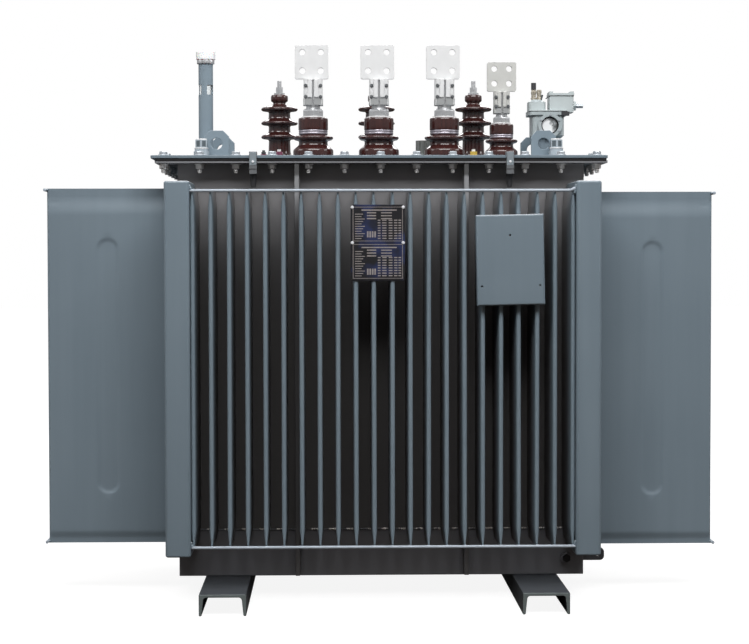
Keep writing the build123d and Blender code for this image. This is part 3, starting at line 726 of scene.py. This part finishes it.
cover_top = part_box("cover_plate")[1].z
bolt_middle = -0.002
bolt_x = 0.5732
bolt_y = 0.252
holes = [(bolt_middle - bolt_x + i * bolt_x / 6, side * bolt_y, cover_top)
         for i in range(13) for side in (-1, 1)]
holes += [(bolt_middle + side * bolt_x, -bolt_y + i * bolt_y * 2 / 5, cover_top)
          for i in range(1, 5) for side in (-1, 1)]
cover_bolts = bolted(
    "cover_bolts", holes, 2, zinc, "galvanised", flats=0.019, head=0.0085, washer=0.0135,
    washer_thickness=0.003, shank=0.006, grip=cover_top - wall_top, nut=0.011, tip=0.011)
# Painted light: the washers, nuts and shanks under the rim take the paler zinc, so that they read bright in
# the cover's shade.
cover_bolts.data.materials.clear()
cover_bolts.data.materials.append(zinc)
cover_bolts.data.materials.append(pale_zinc)
for side in cover_bolts.data.polygons:
    side.material_index = int(side.center.z < wall_top)

# Cover clamps: two galvanised C clamps that bridge the cover and the rim on the front and bond them for
# earthing. Each has a small white screw on its spine. Its top faces and a pad on the spine take a paler
# steel as a painted highlight, a groove across the spine is filled dark as painted shade, and below the jaw
# the clamp is black, with a black tapered tail that comes up from below.

galvanised = metal("galvanised", (0.46, 0.5, 0.53), (0.34, 0.37, 0.4), 0.42, 260.0, 0.6, 420.0)
clip_steel = metal("clip_steel", (0.15, 0.158, 0.168), (0.1, 0.106, 0.113), 0.45, 260.0, 0.35, 420.0)
clip_pale = metal("clip_pale", (0.24, 0.28, 0.305), (0.185, 0.215, 0.24), 0.42, 260.0, 0.35)
dark_steel = metal("dark_steel", (0.03, 0.03, 0.033), (0.05, 0.05, 0.055), 0.45, 260.0, 0.4)
white_screw = metal("white_screw", (0.85, 0.86, 0.88), (0.7, 0.72, 0.75), 0.35, 260.0, 0.3)
clip_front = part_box("cover_clips")[0].y
clip_places = (-0.338, 0.338)
jaw_low = cover_top - 0.050
jaw_high = cover_top - 0.004
# The top faces take the paler steel as a painted highlight; below the jaw the clamp is black.
softened("cover_clips", 0.0012, clip_steel, "galvanised", 3, (dark_steel, clip_pale),
         lambda middle: 1 if middle.z < jaw_low else 2 * (middle.z > jaw_high))
groove_low, groove_high = 1.1355, 1.1385
pad_low, pad_high = 1.147, cover_top + 0.0075
pad_half, pad_proud, pad_sunk = 0.0088, 0.0007, 0.001
screw_level = 1.1565
tail_in, tail_drop = 0.025, 0.0165
grooves, pads = [], []
for x in clip_places:
    for half, near, far in ((0.0095, -0.0004, 0.001), (0.0103, 0.0005, 0.0075)):
        grooves.append(((x - half, clip_front + near, groove_low), (x + half, clip_front + far, groove_high)))
    pads.append(((x - pad_half, clip_front - pad_proud, pad_low),
                 (x + pad_half, clip_front + pad_sunk, pad_high)))
# A groove across each spine filled dark as painted shade, and a paler pad above it as a painted highlight.
blocks("clip_grooves", grooves, 0.0003, dark_steel, "galvanised")
blocks("clip_pads", pads, 0.0006, clip_pale, "galvanised")
tails = bmesh.new()
for x in clip_places:
    tail_place = Matrix.Translation((x, clip_front + tail_in, jaw_low - tail_drop))
    bmesh.ops.create_cone(
        tails, cap_ends=True, segments=20, radius1=0.0062, radius2=0.0098, depth=0.035, matrix=tail_place)
seat(eased(kept("clip_tails", tails, dark_steel), 0.0012), "galvanised")
facing = Matrix.Rotation(math.pi / 2, 4, "X")
bolted("clip_screws", [(x, screw_level, 0) for x in clip_places], 12, white_screw, "galvanised",
       Matrix.Translation((0, clip_front, 0)) @ facing, flats=0.0062, head=0.0022, washer=0.0042,
       washer_thickness=0.0006, shank=0.0015, grip=0.006, nut=0.002, tip=0.001)

# Low-voltage bushings: glazed brown porcelain turned with one shed and a heavy head, on a seal ring.
# A ribbed metal band shows in the groove under the head, and a white washer lies on top.


def turned(name, outline, material, place, slot_name, parts=(), sides=72):
    """Lathe a run of radius, level and rounding triples about the Z axis, and seat the piece in its place."""
    line = []
    for i, (r, z, rounding) in enumerate(outline):
        here = Vector((r, z))
        if rounding and 0 < i < len(outline) - 1:
            back = Vector(outline[i - 1][:2]) - here
            ahead = Vector(outline[i + 1][:2]) - here
            start = here + back.normalized() * min(rounding, back.length * 0.49)
            end = here + ahead.normalized() * min(rounding, ahead.length * 0.49)
            for t in (0, 0.25, 0.5, 0.75, 1):
                line.append(start * (1 - t) ** 2 + here * 2 * t * (1 - t) + end * t * t)
        else:
            line.append(here)
    shape = bmesh.new()
    rings = []
    for point in line:
        if point.x < 1e-6:
            rings.append([shape.verts.new((0, 0, point.y))])
        else:
            rings.append([shape.verts.new((
                point.x * math.cos(2 * math.pi * k / sides), point.x * math.sin(2 * math.pi * k / sides),
                point.y)) for k in range(sides)])
    for low, high in zip(rings, rings[1:]):
        for k in range(sides):
            j = (k + 1) % sides
            corners = [low[k % len(low)], low[j % len(low)], high[j % len(high)], high[k % len(high)]]
            corners = list(dict.fromkeys(corners))
            if len(corners) > 2:
                shape.faces.new(corners)
    bmesh.ops.remove_doubles(shape, verts=shape.verts, dist=1e-6)
    bmesh.ops.recalc_face_normals(shape, faces=shape.faces)
    piece = kept(name, shape, material, 50)
    piece.data.transform(place)
    seat(piece, slot_name, *parts)


def disc(radius, low, high, rounding):
    """Outline of a plain round disc with broken edges."""
    return [(0, low, 0), (radius, low, rounding), (radius, high, rounding), (0, high, 0)]


def scaled(outline, radius, height):
    """Outline in shares of a radius and a height, brought to size."""
    return [(r * radius, z * height, rounding) for r, z, rounding in outline]


def stand(part):
    """Radius and height of a round solid, and the place of the middle of its foot."""
    low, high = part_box(part)
    place = Matrix.Translation(((low.x + high.x) / 2, (low.y + high.y) / 2, low.z))
    return (high.x - low.x) / 2, high.z - low.z, place


porcelain, tree, face, place = finish("porcelain")
mottle = noise(tree, place, 60.0, 6.0)
drip = noise(tree, place, (160.0, 160.0, 12.0), 2.0)
glaze = ramp(tree, maths(tree, "MULTIPLY", mottle, drip), 0.12, 0.42)
brown = mixed(tree, glaze, (0.03, 0.0088, 0.008), (0.046, 0.014, 0.012))
feed(tree, face, {"Base Color": brown, "Roughness": 0.13, "IOR": 1.6})
rough(tree, face, noise(tree, place, 120.0, 2.0), 0.015, 0.0005)

band_metal = metal("band_metal", (0.4, 0.37, 0.42), (0.26, 0.24, 0.27), 0.34, 300.0, 0.7)
white_washer = metal("white_washer", (0.8, 0.8, 0.8), (0.62, 0.63, 0.64), 0.4, 260.0, 0.3)
washer_thick = 0.0032
lv_outline = [
    (0, 0, 0), (1, 0, 0.002), (1, 0.2, 0.004), (0.94, 0.236, 0.004), (0.75, 0.31, 0.006),
    (0.715, 0.345, 0.006), (0.715, 0.425, 0.003), (0.94, 0.455, 0.003), (1, 0.5, 0.003), (0.97, 0.535, 0.003),
    (0.69, 0.568, 0.003), (0.67, 0.585, 0.002), (0.67, 0.69, 0.001), (0.735, 0.7, 0.002),
    (0.735, 0.975, 0.005), (0.68, 1, 0.003), (0, 1, 0)]
lv_band = [
    (0, 0.58, 0), (0.7, 0.58, 0.001), (0.72, 0.6, 0.001), (0.72, 0.622, 0.001), (0.7, 0.638, 0.001),
    (0.72, 0.655, 0.001), (0.72, 0.68, 0.001), (0.7, 0.698, 0.001), (0, 0.698, 0)]
for name in ("lv_1", "lv_2", "lv_3", "neutral"):
    radius, height, place = stand(name + "_bushing")
    turned(name + "_porcelain", scaled(lv_outline, radius, height), porcelain, place, "porcelain",
           (name + "_bushing",))
    turned(name + "_band", scaled(lv_band, radius, height), band_metal, place, "stud_metal")
    turned(name + "_washer", disc(0.6 * radius, height, height + washer_thick, 0.0008), white_washer, place,
           "stud_metal")

# Low-voltage terminals: tinned copper clamps split at the front and drawn on to the studs by four bolts,
# each with a flat four-hole palm above for busbars. A large plated nut holds the stud on its porcelain.

tinned = metal("tinned", (0.68, 0.685, 0.69), (0.6, 0.61, 0.615), 0.46, 220.0, 0.25)
dull_tin = metal("dull_tin", (0.52, 0.525, 0.505), (0.455, 0.46, 0.445), 0.46, 220.0, 0.25)
# Painted shade: the darker tin is for the low collar that lies in the shade under the clamp lobes.
worn_tin = metal("worn_tin", (0.42, 0.43, 0.43), (0.27, 0.28, 0.285), 0.42, 160.0, 0.6)
plated = metal("plated", (0.7, 0.71, 0.72), (0.48, 0.49, 0.5), 0.3, 260.0, 0.9)
grey_steel = metal("grey_steel", (0.16, 0.17, 0.18), (0.09, 0.095, 0.1), 0.4, 260.0, 0.7)
clamp_tall_share, clamp_wide_share, clamp_deep_share = 0.65, 0.955, 0.9
collar_share, lobe_low_share, lobe_wide_share = 0.25, 0.265, 0.6
bolt_wide_share, bolt_level_shares = 0.78, (0.31, 0.73)
slit = 0.002
bite = 0.002
lobe_proud = 0.0045
collar_proud = 0.0008
collar_corner = 0.0035
softened("lv_studs", 0.0022, plated, "stud_metal")
for name in ("lv_1", "lv_2", "lv_3", "neutral"):
    tin = dull_tin if name == "neutral" else tinned
    softened(name + "_terminal", 0.0012, tin, "tinned_metal")
    radius, height, place = stand(name + "_bushing")
    clamp_height = height * clamp_tall_share
    half_wide, half_deep = radius * clamp_wide_share / 2, radius * clamp_deep_share / 2
    x, y, z = place.translation.x, place.translation.y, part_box(name + "_terminal")[0].z
    front, back = y - half_deep, y + half_deep
    collar_top = z + clamp_height * collar_share
    lobes, collar = [], []
    for side in (-1, 1):
        lobes.append(((x + side * slit, front - lobe_proud, z + clamp_height * lobe_low_share),
                      (x + side * half_wide * lobe_wide_share, front + bite, z + clamp_height)))
        collar.append(((x + side * slit, front - collar_proud, z),
                       (x + side * (half_wide - collar_corner), front + bite, collar_top)))
        collar.append(((x + side * (half_wide - bite), front + collar_corner, z),
                       (x + side * (half_wide + collar_proud), back - collar_corner, collar_top)))
    collar.append(((x - half_wide + collar_corner, back - bite, z),
                   (x + half_wide - collar_corner, back + collar_proud, collar_top)))
    blocks(name + "_clamp_lobes", lobes, 0.003, tin, "tinned_metal", 3)
    # Painted shade: the collar under the lobes takes the darker tin.
    blocks(name + "_clamp_collar", collar, 0.0006, worn_tin, "tinned_metal")
    spots = [(i * half_wide * bolt_wide_share, j * clamp_height, half_deep)
             for i in (-1, 1) for j in bolt_level_shares]
    bolted(name + "_clamp_bolts", spots, 6, grey_steel, "stud_metal", Matrix.Translation((x, y, z)) @ facing,
           flats=0.0078, head=0.004, washer=0.0048, washer_thickness=0.0008, shank=0.003, grip=2 * half_deep,
           nut=0.005, tip=0.004)

# High-voltage bushings: taller brown porcelain with three thin sheds, closed by a rounded cap,
# with plated nuts and a threaded end on top.

hv_outline = [
    (0, 0, 0), (0.86, 0, 0.002), (0.86, 0.06, 0.004), (0.6, 0.12, 0.01),
    (0.575, 0.34, 0.005), (0.93, 0.352, 0.003), (1, 0.375, 0.0022), (0.94, 0.4, 0.003), (0.59, 0.435, 0.006),
    (0.575, 0.545, 0.005), (0.93, 0.556, 0.003), (1, 0.578, 0.0022), (0.94, 0.602, 0.003),
    (0.59, 0.638, 0.006), (0.575, 0.75, 0.005), (0.93, 0.76, 0.003), (1, 0.784, 0.0022), (0.94, 0.808, 0.003),
    (0.5, 0.845, 0.006), (0.335, 0.86, 0.003), (0.335, 0.885, 0.002), (0.46, 0.905, 0.004),
    (0.46, 0.975, 0.004), (0.4, 1, 0.003), (0, 1, 0)]
for name in ("hv_1", "hv_2", "hv_3"):
    radius, height, place = stand(name + "_bushing")
    turned(name + "_porcelain", scaled(hv_outline, radius, height), porcelain, place, "porcelain",
           (name + "_bushing",))
softened("hv_terminals", 0.0008, plated, "stud_metal")

# Filler pipe: painted steel tube welded to the cover on a foot ring, with sight windows over a glass tube,
# a plated collar and an ivory plastic screw cap.

fitting_paint = paint("fitting_paint", (0.171, 0.22, 0.26), (0.19, 0.242, 0.282), 0.4, 0.1)
softened("filler_pipe", 0.0008, fitting_paint, "tank_paint")
clear_glass, tree, face, place = finish("clear_glass")
smear = ramp(tree, noise(tree, place, 70.0, 3.0), 0.0, 1.0, 0.02, 0.12)
feed(tree, face, {"Base Color": (0.93, 0.96, 0.97, 1), "Roughness": smear, "Transmission Weight": 0.92})
softened("filler_sight_glass", 0.0005, clear_glass, "sight_glass")
ivory = two_toned(
    "ivory_plastic", (0.77, 0.795, 0.8), (0.84, 0.86, 0.865), 90.0, 4.0,
    {"Roughness": 0.4, "Subsurface Weight": 0.08}, (0.1, 0.0004))
softened("filler_cap", 0.001, ivory, "cap_plastic")
cap_low, cap_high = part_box("filler_cap")
pipe_x = (cap_low.x + cap_high.x) / 2
turned("filler_ring", disc(0.0242, 0.0005, 0.0105, 0.0004), plated,
       Matrix.Translation((pipe_x, 0, cap_low.z)), "stud_metal", sides=40)
foot_radius = 0.031
weld_level = cover_top + 0.001
foot_turns = [k * math.pi / 12 for k in range(25)]
foot_ring = [(pipe_x + foot_radius * math.cos(a), foot_radius * math.sin(a), weld_level) for a in foot_turns]
welded("filler_weld", [foot_ring], fitting_paint, step=0.0045, radius=0.0036, flatness=0.8, seed=21)

# Lifting lugs and plugs: thick plates with cut corners, fillet-welded to the cover near its corners, and two
# galvanised hexagon plugs screwed into stepped bosses, each on a bright collar. Each plug's top takes a paler
# zinc as a painted highlight, and its six flats a darker zinc as painted shade.

softened("lifting_lugs", 0.0012, fitting_paint, "tank_paint", 3)
lug_x, lug_y = 0.441, 0.145
lug_half_wide, lug_half_thick = 0.034, 0.007
lug_lines = []
for i in (-1, 1):
    for j in (-1, 1):
        loop = [(i * lug_x + a * lug_half_wide, j * lug_y + b * lug_half_thick, weld_level)
                for a, b in ((-1, -1), (1, -1), (1, 1), (-1, 1))]
        lug_lines.append(loop + loop[:1])
welded("lug_welds", lug_lines, fitting_paint, step=0.0045, radius=0.0038, flatness=0.8, seed=31)
plug_zinc = metal("plug_zinc", (0.42, 0.475, 0.52), (0.35, 0.4, 0.445), 0.42, 90.0, 0.4)
plug_dark = metal("plug_dark", (0.12, 0.15, 0.165), (0.09, 0.11, 0.125), 0.42, 90.0, 0.4)
plug_low, plug_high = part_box("cover_plugs")
plug_y = (plug_low.y + plug_high.y) / 2
plug_radius = 0.0205
# Painted highlight: the plug's top faces take the paler zinc.
softened("cover_plugs", 0.0008, plug_zinc, "galvanised", 2, (pale_zinc,),
         lambda middle: int(middle.z > plug_high.z - 0.002))
flat_half, flat_in, flat_out = 0.0055, 0.015, 0.0157
flat_low, flat_high = cover_top + 0.0275, cover_top + 0.0435
# Painted shade: thin dark plates on the six hexagon flats.
shaded_flats = bmesh.new()
for side, x in (("left", plug_low.x + plug_radius), ("right", plug_high.x - plug_radius)):
    for k in range(6):
        flat = bar(shaded_flats, (-flat_half, -flat_out, flat_low), (flat_half, -flat_in, flat_high))
        turn = Matrix.Translation((x, plug_y, 0)) @ Matrix.Rotation((k + 0.5) * math.pi / 3, 4, "Z")
        bmesh.ops.transform(shaded_flats, matrix=turn, verts=flat)
    turned("plug_collar_" + side, disc(0.0188, 0.0222, 0.0247, 0.0005), pale_zinc,
           Matrix.Translation((x, plug_y, cover_top)), "galvanised", sides=40)
seat(eased(kept("plug_flats", shaded_flats, plug_dark), 0.0002), "galvanised")

# Protection relay: cast alloy body painted pale grey on a pipe neck, with a round sight window in a rubber
# seal. A gasket and a plate carry its head with brass vent and test valves and a small lever. Beside it is
# a terminal box with a lid on a seal, a wire catch and a cable gland.

relay_paint = paint("relay_paint", (0.31, 0.355, 0.37), (0.35, 0.395, 0.405), 0.42, 0.1)
pale_paint = paint("pale_paint", (0.4, 0.45, 0.46), (0.44, 0.485, 0.49), 0.42, 0.1)
brass_stem = metal("brass_stem", (0.46, 0.42, 0.34), (0.34, 0.31, 0.26), 0.36, 240.0, 0.6)
softened("relay_neck", 0.0015, tank_paint, "tank_paint")
# Painted shade: the body's grey is a darker copy of the pale paint on the head and box, for the shade under
# the flange.
softened("relay_body", 0.002, relay_paint, "relay_paint", 3)
head_low, head_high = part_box("relay_head")
head_x, head_y = (head_low.x + head_high.x) / 2, (head_low.y + head_high.y) / 2
stem_low = head_low.z + 0.036
head_levels = (head_low.z + 0.0291, stem_low + 0.001, head_high.z - 0.018)
softened("relay_head", 0.0022, pale_paint, "relay_paint", 2, (relay_paint, brass_stem, dark_steel),
         lambda middle: sum(middle.z > level for level in head_levels))
stems = [(head_x + i * 0.0075, head_y, stem_low + z) for i, z in ((-1, 0), (1, 0), (-1, 0.018), (1, 0.0205))]
bolted("stem_nuts", stems, 14, brass_stem, "stud_metal", flats=0.0142, head=0.0055, washer=0.0074,
       washer_thickness=0.001, shank=0.0063, grip=0.0, nut=0.001, tip=0.001)
flange_low, flange_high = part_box("relay_body")
gasket_in, plate_in, flange_set_back = 0.0012, 0.0006, 0.003
gasket_top = head_low.z + 0.0018
plate_top = head_low.z + 0.0046
blocks("head_gasket", [(
    (flange_low.x + gasket_in, flange_low.y + gasket_in + flange_set_back, head_low.z - 0.0002),
    (flange_high.x - gasket_in, flange_high.y - gasket_in, gasket_top))],
    0.0004, gasket_rubber, "gasket_rubber")
blocks("head_plate", [(
    (flange_low.x + plate_in, flange_low.y + plate_in + flange_set_back, gasket_top),
    (flange_high.x - plate_in, flange_high.y - plate_in, plate_top))], 0.0008, pale_paint, "relay_paint")
lever = bmesh.new()
round_bar(lever, (head_x + 0.0125, head_y - 0.004, stem_low - 0.001),
          (head_x + 0.0165, head_y - 0.006, stem_low + 0.014), 0.0026, 14, 0.0008)
seat(kept("vent_lever", lever, grey_steel), "stud_metal")
box_low, box_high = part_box("junction_box")
gland_start = box_high.x - 0.029
softened("junction_box", 0.001, pale_paint, "relay_paint", 2, (galvanised,),
         lambda middle: int(middle.x > gland_start + 0.0092))
seal_low, seal_high = box_low.z + 0.0435, box_low.z + 0.0461
blocks("box_lid_seal", [(
    (box_low.x + gasket_in, box_low.y + gasket_in, seal_low),
    (gland_start + 0.0003, box_high.y - gasket_in, seal_high))],
    0.0003, gasket_rubber, "gasket_rubber")
catch = bmesh.new()
round_bar(catch, (box_low.x + 0.002, box_low.y + 0.006, box_low.z + 0.0445),
          (box_low.x - 0.009, box_low.y + 0.006, box_low.z + 0.037), 0.0015, 12, 0.0005)
# The dark block under the right end of the box is a bracket, and its black is partly painted shadow, for the
# box's shadow on the flange.
bar(catch, (flange_high.x - 0.018, flange_low.y + 0.0012, box_low.z - 0.0105),
    (flange_high.x + 0.004, flange_low.y + 0.022, box_low.z + 0.0004))
seat(eased(kept("box_catch", catch, dark_steel), 0.0004), "stud_metal")
low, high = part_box("relay_window")
window = Vector(((low.x + high.x) / 2, low.y, (low.z + high.z) / 2))
slant = 0.35
card, tree, face, place = finish("window_card")
across = put(tree, "ShaderNodeSeparateXYZ", {0: place}).outputs
blotch = noise(tree, place, 130.0, 4.0)
leant = maths(tree, "MULTIPLY_ADD", across["Z"], slant, across["X"])
level = maths(tree, "MULTIPLY_ADD", blotch, 0.03, leant)
edge = window.x + slant * window.z
dark_share = ramp(tree, level, edge + 0.016, edge + 0.023)
mottled = mixed(tree, ramp(tree, blotch, 0.35, 0.65), (0.02, 0.022, 0.022), (0.3, 0.32, 0.33))
feed(tree, face, {
    "Base Color": mixed(tree, dark_share, (0.8, 0.82, 0.83), mottled), "Roughness": 0.35, "Coat Weight": 1.0,
    "Coat Roughness": 0.03})
softened("relay_window", 0.0006, card, "sight_glass")
seal_outline = [
    (0.0205, 0.0, 0), (0.0238, 0.0, 0.0006), (0.0238, 0.0032, 0.0012), (0.0218, 0.0036, 0.0012),
    (0.0205, 0.0, 0)]
turned("window_seal", seal_outline, gasket_rubber, Matrix.Translation(window) @ facing, "gasket_rubber")
screw_ring = 0.0285
body_front = -0.054
screw_turns = [k * math.pi / 3 + 0.5 for k in range(6)]
screws = [(screw_ring * math.cos(a), screw_ring * math.sin(a), 0) for a in screw_turns]
bolted("window_screws", screws, 7, zinc, "stud_metal",
       Matrix.Translation((window.x, body_front, window.z)) @ facing, flats=0.0055, head=0.003, washer=0.0034,
       washer_thickness=0.0006, shank=0.0015, grip=0.003, nut=0.002, tip=0.001)

# Tap changer cap: a fluted cast alloy cap screwed over the off-load tap switch.
# It stands on a round flange bolted down on the cover.

cap_alloy = metal("cap_alloy", (0.3, 0.31, 0.3), (0.2, 0.21, 0.2), 0.36, 260.0, 0.8)
softened("tap_changer_cap", 0.0008, cap_alloy, "galvanised")

# Earth studs: washers, nuts and studs on the cover edge with bright ends, yellow brass on the right
# and red-brown on the left, where a second small one with a dark nut stands beside it.

brass = metal("earth_brass", (0.72, 0.52, 0.1), (0.55, 0.38, 0.08), 0.34, 240.0, 0.6)
red_washer = metal("red_washer", (0.2, 0.05, 0.09), (0.12, 0.04, 0.07), 0.4, 240.0, 0.3)
bright_end = cover_top + 0.0121
softened("cover_earth_studs", 0.0006, brass, "earth_brass", 2, (pale_zinc, red_washer),
         lambda middle: 1 if middle.z > bright_end else 2 * (middle.x < 0))
stud_y = sum(corner.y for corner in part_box("cover_earth_studs")) / 2
second_place = Matrix.Translation((-0.312, stud_y, cover_top))
second_outline = [
    (0, 0.005, 0), (0.0062, 0.005, 0.0006), (0.0062, 0.011, 0.0006), (0.004, 0.0115, 0.0006),
    (0.004, 0.016, 0.0008), (0, 0.016, 0)]
turned("second_washer", disc(0.0085, 0, 0.005, 0.0006), red_washer, second_place, "earth_brass", sides=32)
turned("second_stud", second_outline, dark_steel, second_place, "earth_brass", sides=32)

# Rating plate: dark enamelled sheet held to the fin noses by four white screws.
# It is ruled in a dim grey into two panels with plain bars for rows and cells.

enamel, tree, face, place = finish("plate_enamel")
patch = ramp(tree, noise(tree, place, 18.0, 2.0), 0.52, 0.66)
dark_blue = mixed(tree, patch, (0.007, 0.007, 0.009), (0.014, 0.022, 0.07))
feed(tree, face, {"Base Color": dark_blue, "Roughness": 0.45, "Specular IOR Level": 0.3})
rough(tree, face, noise(tree, place, 300.0, 2.0), 0.08, 0.0003)
softened("rating_plate", 0.0006, enamel, "plate_enamel")
ink = two_toned("plate_ink", (0.12, 0.105, 0.105), (0.34, 0.31, 0.3), 220.0, 3.0, {"Roughness": 0.5})
low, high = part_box("rating_plate")
wide, tall = high.x - low.x, high.z - low.z
ink_proud = 0.0004
ruling = bmesh.new()


def ruled(x0, z0, x1, z1):
    """Add one printed bar to the plate, placed by shares of its width and height."""
    bar(ruling, (low.x + x0 * wide, low.y - ink_proud, low.z + z0 * tall),
        (low.x + x1 * wide, low.y, low.z + z1 * tall))


panel_tall = 0.45
rule = 0.006
cells = ((0.5, 0.55), (0.58, 0.66), (0.7, 0.77), (0.8, 0.86), (0.88, 0.93))
for base in (0.03, 0.52):
    top = base + panel_tall
    ruled(0.04, base, 0.96, base + rule)
    ruled(0.04, top - rule, 0.96, top)
    ruled(0.04, base + rule, 0.05, top - rule)
    ruled(0.95, base + rule, 0.96, top - rule)
    ruled(0.2, top - 0.05, 0.85, top - 0.034)
    for k in range(11):
        z = base + 0.03 + k * 0.032
        ruled(0.08, z, 0.2 + 0.03 * (k % 3), z + 0.01)
    for k in range(3):
        z = top - 0.085 - k * 0.038
        ruled(0.56, z, 0.76, z + 0.014)
        ruled(0.3, z, 0.47, z + 0.016)
    for k in range(8):
        z = base + 0.03 + k * 0.034
        for x0, x1 in cells:
            ruled(x0, z, x1, z + 0.014)
    for k in range(4):
        ruled(0.3 + 0.045 * k, base + 0.05, 0.33 + 0.045 * k, base + 0.13)
seat(kept("plate_ruling", ruling, ink), "plate_enamel")
plate_screws = [(low.x + x * wide, low.z + z * tall, 0) for x in (0.03, 0.97) for z in (0.5, 0.965)]
bolted("plate_screws", plate_screws, 3, white_screw, "stud_metal", Matrix.Translation((0, low.y, 0)) @ facing,
       flats=0.006, head=0.003, washer=0.0042, washer_thickness=0.001, shank=0.002, grip=0.004, nut=0.002,
       tip=0.001)

# Instrument tray: a shallow panel folded from sheet, with three holes for a dial instrument.
# It is welded on the fin noses and painted with the tank, and a heavy pale coat on its upper edge is partly
# dust and partly a painted highlight.

softened("instrument_tray", 0.0008, edge_paint, "tank_paint")

# Drain plug and side earth lug: a round boss with a black hexagon head low on the front wall,
# and a dark earthing plate with one hole welded to the right foot of the tank.

head_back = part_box("drain_plug")[0].y + 0.0078
softened("drain_plug", 0.0012, strip_paint, "tank_paint", 2, (gasket_rubber,),
         lambda middle: int(middle.y < head_back))
softened("side_earth_lug", 0.001, dark_steel, "skid_paint")

# Studio: white floor and background that keep a soft shadow, wide soft lamps high in front, above, behind and
# at both sides, and the camera where the photograph was taken from.


def looks(tree):
    """Share of looks that are straight or through glass, and share that are in a reflection."""
    rays = put(tree, "ShaderNodeLightPath").outputs
    return maths(tree, "MAXIMUM", rays["Is Camera Ray"], rays["Is Transmission Ray"]), rays["Is Glossy Ray"]


white_floor, tree, face, place = finish("white_floor")
tree.nodes.remove(face)
away = put(tree, "ShaderNodeVectorMath", {0: place}, operation="LENGTH").outputs["Value"]
glow = put(tree, "ShaderNodeEmission", {
    "Color": (1, 1, 1, 1), "Strength": ramp(tree, away, 1.2, 2.6, 0.9, 1.0)}).outputs[0]
matt = put(tree, "ShaderNodeBsdfDiffuse", {"Color": (0.2, 0.2, 0.2, 1)}).outputs[0]
pale = put(tree, "ShaderNodeAddShader", {0: glow, 1: matt}).outputs[0]
dim = put(tree, "ShaderNodeBsdfDiffuse", {"Color": (0.08, 0.066, 0.055, 1)}).outputs[0]
surface = put(tree, "ShaderNodeMixShader", {0: looks(tree)[0], 1: dim, 2: pale}).outputs[0]
tree.links.new(surface, tree.nodes["Material Output"].inputs["Surface"])
ground = bmesh.new()
bmesh.ops.create_grid(ground, x_segments=1, y_segments=1, size=30)
kept("floor", ground, white_floor)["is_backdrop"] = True

world = bpy.data.worlds.new("white_room")
bpy.context.scene.world = world
world.use_nodes = True
tree = world.node_tree
straight, mirrored = looks(tree)
around = mixed(tree, mirrored, (0.16, 0.145, 0.135), (0.45, 0.45, 0.46))
tree.links.new(mixed(tree, straight, around, (1.0, 1.0, 1.0)), tree.nodes["Background"].inputs["Color"])


def lamp(name, place, aim, wide, tall, power):
    """Rectangular soft lamp turned to a point."""
    light = bpy.data.lights.new(name, "AREA")
    light.shape = "RECTANGLE"
    light.size = wide
    light.size_y = tall
    light.energy = power
    made = shown(name, light)
    made.location = place
    made.rotation_euler = (Vector(aim) - Vector(place)).to_track_quat("-Z", "Y").to_euler()


lamp("front_lamp", (0.1, -4.0, 4.8), (0, 0, 0.75), 5.6, 2.0, 408)
lamp("top_lamp", (0, -0.6, 4.6), (0, 0, 0.8), 4.0, 0.4, 50)
lamp("rear_lamp", (0.6, 4.4, 4.0), (0, 0, 0.75), 4.0, 2.0, 180)
lamp("left_lamp", (-5.0, -0.6, 3.6), (0, 0, 0.7), 2.5, 2.0, 70)
lamp("right_lamp", (5.0, -0.6, 3.6), (0, 0, 0.7), 2.5, 2.0, 80)

picture_width = 749
focal_pixels = 1911.64
camera_place = (-0.13311, -5.31499, 0.90021)
yaw, pitch, roll = -1.29, 1.88, -0.10
lens = bpy.data.cameras.new("camera")
lens.sensor_width = 36
lens.lens = lens.sensor_width * focal_pixels / picture_width
lens.clip_end = 100
camera = shown("camera", lens)
camera.matrix_world = (
    Matrix.Translation(camera_place) @ Matrix.Rotation(math.radians(yaw), 4, "Z")
    @ Matrix.Rotation(math.radians(90 - pitch), 4, "X") @ Matrix.Rotation(math.radians(roll), 4, "Z"))
bpy.context.scene.camera = camera
bpy.context.scene.view_settings.view_transform = "Standard"

low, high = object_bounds()
